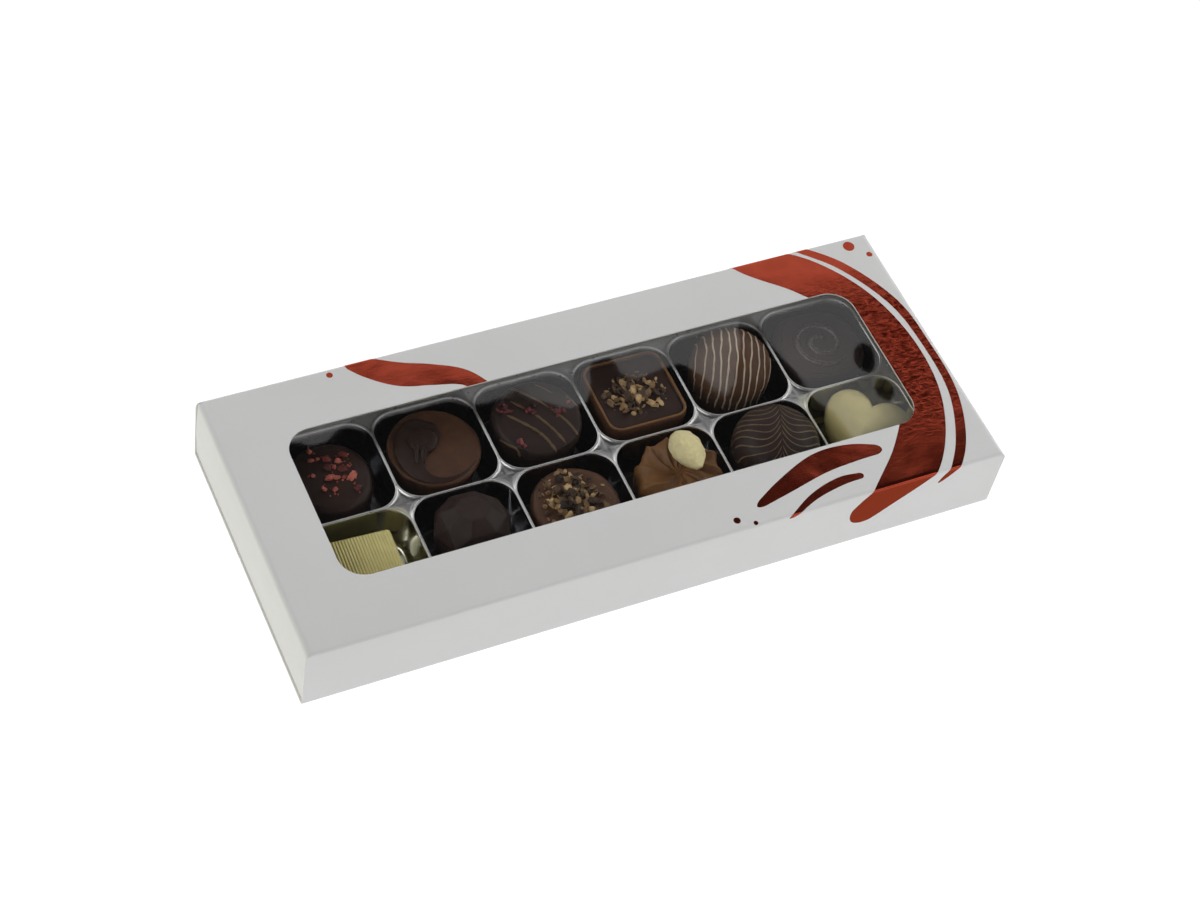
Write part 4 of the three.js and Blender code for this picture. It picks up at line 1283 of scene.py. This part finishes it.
def ridged_block():
    half, top, ridges = 11.1, 13.6, 23
    step = (2 * half - 1.2) / ridges
    side = [(half - 0.5, STAND_Z), (half, STAND_Z + 0.5), (half, top - 1.0), (half - 0.25, top - 0.5)]
    across = [(-x, z) for x, z in side]
    for i in range(ridges):
        left = -half + 0.6 + i * step
        across += [(left + t * step, top + up) for t, up in RIDGE]
    across += [(half - 0.6, top - 0.34)] + side[::-1]
    across = np.array(across)[::-1]
    middle = np.array([0, (top + STAND_Z) / 2])
    ends = [(half, 0.93), (half - 0.05, 0.975), (half - 0.3, 0.995), (half - 0.8, 1), (5, 1)]
    rings = []
    for y, shrink in ends + [(0, 1)] + [(-y, shrink) for y, shrink in ends[::-1]]:
        rings.append(upright(middle + (across - middle) * shrink, y))
    block = seat("front", 0, -1.9, 0)(loft(rings), turn=-2.5)
    by_angle(piece("ridged_block", block, IVORY, ["praline_front_1"]), 50)


ridged_block()


def gem_praline():
    sides, start = 8, 0.36
    rings = []
    for radius, turn, z in ((10.9, 0.5, 0), (12.1, 0.5, 11.2), (9.9, 0, 15.7), (5.2, 0, 18.2)):
        rings.append(circle(radius, z, sides, start + TURN * turn / sides))
    faces = [tuple(range(sides))[::-1], tuple(range(3 * sides, 4 * sides))]
    for i in range(sides):
        j = (i + 1) % sides
        faces.append((i, j, sides + j, sides + i))
        faces.append((sides + i, sides + j, 2 * sides + j))
        faces.append((sides + i, 2 * sides + j, 2 * sides + i))
        faces.append((2 * sides + i, 2 * sides + j, 3 * sides + j, 3 * sides + i))
    gem = seat("front", 1, -0.2, 1.0)((np.vstack(rings), faces), 3.9, lean=11)
    made = piece("cut_gem", gem, DARK_SATIN, ["praline_front_2"], flat=True)
    soft = made.modifiers.new("edges", "BEVEL")
    soft.width = 0.35 * MM
    soft.segments = 3
    soft.limit_method = "ANGLE"
    soft.angle_limit = math.radians(6)


gem_praline()


def nib_praline():
    at, top = seat("front", 2, 0.1, 1.4), 14.4
    outline = [(0.02, STAND_Z), (12.5, STAND_Z), (13.8, 10.8), (13.6, 13.0), (12.6, 14.05), (10.5, top)]
    body = turned_body(outline, 1.1, [(r, top + 0.3 * (1 - r / 10)) for r in np.linspace(9.6, 0.2, 14)])
    uneven(piece("milk_drum", at(body), MILK, ["praline_front_3"]), 0.3, 9.0, 61.0)
    draw = np.random.default_rng(43)
    bits = []
    for layer, count, reach in ((0, 95, 10.8), (1, 48, 7.2)):
        for sx, sy in scatter(draw, count, reach, 1.05, 0.72):
            near = 1 - math.hypot(sx, sy) / 10.8
            size = draw.uniform(0.8, 1.9) + 1.3 * near * draw.random()
            height = top + 0.25 * size + (1.0 * near * draw.random() if layer == 0 else 1.5 * near + 0.4)
            bits.append(nib(draw, size, (0.22, 0.6), Vector((sx - 0.8, sy + 0.9, height)), 1.0))
    for sx, sy in scatter(draw, 60, 11.6, 0.6, 0.6):
        size = draw.uniform(0.35, 0.9)
        spot = Vector((sx - 0.6, sy + 0.6, top + 0.2 * size - 0.15 * max(0.0, math.hypot(sx, sy) - 10.5)))
        bits.append(tumbled(stone(draw, size, 1.1, 0.6, 9, 10.0, 1), draw, spot))
    crumbs("nibs_on_drum", at, bits, draw, NIB)


nib_praline()


# The rosette's piped folds: where each crest lies, and how strong it is
PEAKS = np.radians([8, 44, 79, 112, 150, 187, 222, 262, 300, 334])
STRENGTH = np.array([1.0, 0.7, 1.0, 0.9, 1.1, 1.0, 0.85, 1.1, 0.8, 0.9])
# Its rings: reach, height, relief, depth of the folds, and twist
ROSETTE = [
    (0.3, STAND_Z, 0, 0, -0.1), (10.5, STAND_Z, 0, 0.02, -0.1), (11.6, STAND_Z + 0.4, 0, 0.03, -0.1),
    (12.6, STAND_Z + 2, 0, 0.05, -0.08), (13.2, 7, 0, 0.07, -0.03), (13.6, 11, 0.1, 0.09, 0),
    (13.8, 13.4, 0.4, 0.11, 0.03), (13.6, 14.9, 1.0, 0.12, 0.05), (12.7, 15.8, 1.5, 0.11, 0.09),
    (11.0, 16.2, 1.8, 0.09, 0.16), (8.8, 16.3, 1.9, 0.07, 0.27), (6.5, 16.1, 1.6, 0.05, 0.4),
    (4.3, 15.8, 1.2, 0.04, 0.55), (2.6, 15.5, 0.6, 0.02, 0.68), (1.2, 15.3, 0.2, 0, 0.78),
    (0.3, 15.3, 0, 0, 0.8),
]


def crests(spread):
    """Height of the folds round the rosette: each falls slowly after its crest and rises fast to the next"""
    gaps = np.diff(np.append(PEAKS, PEAKS[0] + TURN))
    done = []
    for angle in spread:
        away = (angle - PEAKS) % TURN
        k = int(np.argmin(away))
        share = away[k] / gaps[k]
        done.append(max(STRENGTH[k] * (1 - share) ** 3.2, STRENGTH[(k + 1) % len(PEAKS)] * share**7))
    return np.array(done)


def rosette(n=220):
    spread = TURN * np.arange(n) / n
    crest = crests(spread)
    bulge = 1 + 0.03 * np.sin(2 * spread + 0.6) + 0.025 * np.sin(3 * spread + 2)
    rows = np.array(ROSETTE, float)
    rings = []
    for s in np.linspace(0, len(rows) - 1, 52):
        i = min(int(s), len(rows) - 2)
        reach, z, relief, depth, twist = lerp(rows[i], rows[i + 1], s - i)
        radius = reach * (1 - depth * (1 - crest)) * bulge
        angle = spread + twist
        rings.append(np.c_[radius * np.cos(angle), radius * np.sin(angle), z + relief * (crest - 0.35)])
    piped = seat("front", 3, 1.1, 1.3)(loft(rings))
    made = piece("piped_rosette", piped, MILK_PIPED, ["praline_front_4"])
    uneven(made, 0.3, 3.4, 71.0)
    uneven(made, 0.12, 1.1, 11.0)


rosette()


def coated_almond():
    length, width, thick, sides, count = 14.8, 10.2, 6.4, 72, 60
    angle = TURN * np.arange(sides) / sides
    rings = []
    for k in range(count + 1):
        t = lerp(0.006, 0.994, 0.5 - 0.5 * math.cos(math.pi * k / count))
        swell = math.sin(math.pi * t**0.86) ** 0.58
        bumps = 1 + 0.015 * np.sin(3 * angle + 9 * t) + 0.01 * np.sin(5 * angle - 7 * t)
        across = np.c_[width / 2 * swell * bumps * np.cos(angle), thick / 2 * swell * bumps * np.sin(angle)]
        rings.append(upright(across[::-1], (0.5 - t) * length))
    almond = seat("front", 3, 4.6, 4.8)(loft(rings[::-1]), 20.3, 4)
    made = piece("almond_coated", almond, ALMOND, ["almond"])
    uneven(made, 0.24, 1.6, 3.0)
    uneven(made, 0.16, 0.8, 9.0)


coated_almond()


def feathered_dome():
    """Fine caramel lines lie across the dome, each drawn to the back where it meets the spine"""
    at = seat("front", 4, 1.6, 1.7)
    shape = reach, *_ = 13.6, 13.4, 23.3, 2.5
    body = lathe(dome_profile(12.0, *shape))
    piece("feathered_dome", at(body), DARK_SATIN, ["praline_front_5"])
    across, along = dome_axes(0.4)
    lines = []
    for k in range(14):
        for side in (-1, 1):
            path, normals = [], []
            for s in np.linspace(0, 1, 56):
                u = 0.14 + 15.5 * s**1.25
                v = -19.5 + 2.35 * k + (0.5 if side > 0 else 0)
                v = v + 6.5 * math.exp(-u / 2.3) + 0.3 * math.sin(0.55 * u + 1.3 * k)
                v += 0.035 * u * u * (1 if side > 0 else 0.7)
                spot = across * side * u + along * v
                if np.linalg.norm(spot) > reach + 1.2:
                    break
                place, normal = on_dome(spot, shape)
                path.append(place)
                normals.append(normal)
            if len(path) > 14:
                swell = 0.52 + 0.16 * wobble(len(path), 0.3, 3.0 * k, side)
                swell = swell * np.linspace(0.45, 1, len(path))
                lines.append(strand(path, normals, swell, 0.14, 6))
    piece("feather_lines", at(joined(lines)), FEATHER_LINE)


feathered_dome()


def heart():
    """A heart curve, evened out the more the nearer a ring is to the top"""
    wall_top, crown = 11.8, 7.0
    t = -TURN * np.arange(120) / 120
    y = 13 * np.cos(t) - 5 * np.cos(2 * t) - 2 * np.cos(3 * t) - np.cos(4 * t)
    unit = np.c_[16 * np.sin(t) ** 3, y] / 32
    stations = [(20.6, STAND_Z), (22.6, STAND_Z + 0.2), (24.2, STAND_Z + 1.4), (25.6, 5.5), (26.4, 9)]
    stations.append((26.2, wall_top))
    for s in np.linspace(0.1, 0.995, 22) * math.pi / 2:
        stations.append((26.2 * math.cos(s) ** 0.8, wall_top + crown * math.sin(s) ** 0.85))
    rings = []
    for width, z in stations:
        reach = 2 + round(6 * max(0.0, z - wall_top) / crown)
        even = sum(np.roll(unit, k, 0) for k in range(-reach, reach + 1)) / (2 * reach + 1)
        rings.append(level(even * width * 1.04, z))
    puffed = seat("front", 5, 1, 1.5)(loft(rings), turn=-45)
    made = piece("puffed_heart", puffed, IVORY_DEEP, ["praline_front_6"])
    uneven(made, 0.3, 7.0, 91.0)


heart()


# Stage: white floor, even studio light, and dark cards that the film and the foil mirror

CARD_Z = 900
# Picture points that the far edge of the large card is mirrored at: it bounds the bright patches on the film
CARD_EDGE = [
    (296, 439), (312, 440), (332, 437), (350, 426), (372, 408), (462, 388), (474, 398), (500, 393),
    (520, 391), (545, 396), (566, 404), (582, 398), (592, 362), (608, 356), (622, 368), (645, 373),
    (668, 369), (680, 366), (698, 379), (712, 391), (727, 396), (733, 388), (736, 350), (739, 318),
    (752, 316), (764, 334), (782, 354), (800, 377), (816, 395), (836, 410), (848, 432), (862, 452),
    (900, 454), (918, 444), (917, 420), (910, 392), (908, 366), (940, 346), (1000, 330),
]
CARD_CORNERS = [(1100, 100), (700, -1200), (-450, -1200)]
# Dark discs: name, middle and radii in picture points, and how far above the card
DISCS = [("dark_disc", (866, 356), (15, 19), 2), ("second_disc", (886, 388), (12, 11), 3)]


def mirrored(px, py, height=CARD_Z):
    """Where the film sends the sight line of a picture point, at the given height"""
    down = CAMERA_AHEAD.cross(CAMERA_RIGHT)
    aside, below = (px - PHOTO[0] / 2) / FOCAL_PX, (py - PHOTO[1] / 2) / FOCAL_PX
    ray = (CAMERA_AHEAD + CAMERA_RIGHT * aside + down * below).normalized()
    spot = CAMERA_AT + ray * ((HEIGHT - CAMERA_AT.z) / ray.z)
    back = Vector((ray.x, ray.y, -ray.z))
    return spot + back * ((height - spot.z) / back.z)


def stage_mesh(name, vertices, material):
    mesh = bpy.data.meshes.new(name)
    mesh.from_pydata([tuple(Vector(v) * MM) for v in vertices], [], [tuple(range(len(vertices)))])
    mesh.materials.append(material)
    made = new_object(name, mesh)
    return made


def floor(size=4000, z=-0.05):
    material, tree = blank("floor")
    glow = dict(Emission_Color=(1.0, 1.0, 1.0, 1.0), Emission_Strength=0.97)
    lit = principled(tree, Base_Color=(0.12, 0.12, 0.12, 1.0), Roughness=0.9, **glow)
    below = add(tree, "ShaderNodeBsdfTransparent").outputs["BSDF"]
    behind = add(tree, "ShaderNodeNewGeometry").outputs["Backfacing"]
    finish_material(tree, add(tree, "ShaderNodeMixShader", {0: behind, 1: lit, 2: below}).outputs["Shader"])
    stage_mesh("floor", [(-size, -size, z), (size, -size, z), (size, size, z), (-size, size, z)], material)


def card(name, points):
    material, tree = blank(name)
    finish_material(tree, principled(tree, Base_Color=(0.012, 0.012, 0.012, 1.0), Roughness=0.9))
    stage_mesh(name, points, material).visible_camera = False


def dark_cards():
    points = [mirrored(*spot) for spot in CARD_EDGE]
    left = Vector((CARD_CORNERS[-1][0], points[0].y, CARD_Z))
    card("dark_card", [left] + points + [Vector((*corner, CARD_Z)) for corner in CARD_CORNERS])
    for name, (px, py), (wide, high), above in DISCS:
        angles = np.linspace(0, TURN, 24, endpoint=False)
        ring = [(px + wide * math.cos(a), py + high * math.sin(a)) for a in angles]
        card(name, [mirrored(*spot, CARD_Z + above) for spot in ring])


SKY_LOW, SKY_FRONT, SKY_BACK, SKY_SIDE, SKY_LEFT, SKY_HIGH = 0.1, 1.1, 0.82, 3.9, 1.2, 0.78
# What a glossy surface sees of the bright side
SKY_SIDE_MIRRORED = 1.1


def facing(tree, where, way):
    """How far a direction faces a way, from -1 to 1"""
    node = add(tree, "ShaderNodeVectorMath", {0: where, 1: way}, operation="DOT_PRODUCT")
    return node.outputs["Value"]


def sky():
    """Dim low at the front, brightest at the right, and even where the film's mirror image looks"""
    world = bpy.data.worlds.new("studio")
    bpy.context.scene.world = world
    world.use_nodes = True
    tree = world.node_tree
    tree.nodes.clear()
    where = add(tree, "ShaderNodeTexCoord").outputs["Generated"]
    up = parts_of(tree, where)["Z"]
    back = rise(tree, facing(tree, where, (0.42, 0.91, 0.0)), -0.3, 0.5)
    base = blended(tree, back, between(tree, up, SKY_LOW, SKY_FRONT, 0.2, 0.45), SKY_BACK, "FLOAT")
    aside = facing(tree, where, (0.995, -0.1, 0.0))
    left = product(tree, fall(tree, aside, -0.65, -0.3), rise(tree, up, 0.3, 0.5))
    right = rise(tree, aside, 0.4, 0.7)
    glossy = add(tree, "ShaderNodeLightPath").outputs["Is Glossy Ray"]
    strong = between(tree, glossy, SKY_SIDE, SKY_SIDE_MIRRORED, 0.0, 1.0)
    sides = product(tree, right, rise(tree, up, 0.2, 0.4), fall(tree, up, 0.64, 0.78), strong)
    low = calc(tree, "ADD", calc(tree, "ADD", base, sides), product(tree, left, SKY_LEFT))
    open_sky = calc(tree, "SUBTRACT", 1.0, calc(tree, "MAXIMUM", right, left))
    strength = blended(tree, product(tree, rise(tree, up, 0.66, 0.76), open_sky), low, SKY_HIGH, "FLOAT")
    light = add(tree, "ShaderNodeBackground", {"Strength": strength}).outputs["Background"]
    add(tree, "ShaderNodeOutputWorld", {"Surface": light})


def lamp(name, place, size, power):
    data = bpy.data.lights.new(name, "AREA")
    data.size = size
    data.energy = power
    made = new_object(name, data)
    made.location = place
    made.rotation_mode = "QUATERNION"
    made.rotation_quaternion = (-Vector(place)).to_track_quat("-Z", "Y")


def camera():
    data = bpy.data.cameras.new("camera")
    data.sensor_width = 36.0
    data.lens = FOCAL_PX / PHOTO[0] * data.sensor_width
    data.clip_start, data.clip_end = 0.05, 20.0
    made = new_object("camera", data)
    back = -CAMERA_AHEAD.normalized()
    right = (CAMERA_RIGHT - back * CAMERA_RIGHT.dot(back)).normalized()
    turn = Matrix((right, back.cross(right), back)).transposed()
    made.matrix_world = Matrix.Translation(CAMERA_AT * MM) @ turn.to_4x4()
    bpy.context.scene.camera = made


floor()
dark_cards()
sky()
lamp("key", (-0.6, 1.35, 1.25), 0.6, 1.5)
camera()

scene = bpy.context.scene
scene.view_settings.view_transform = "Standard"
scene.view_settings.look = "None"
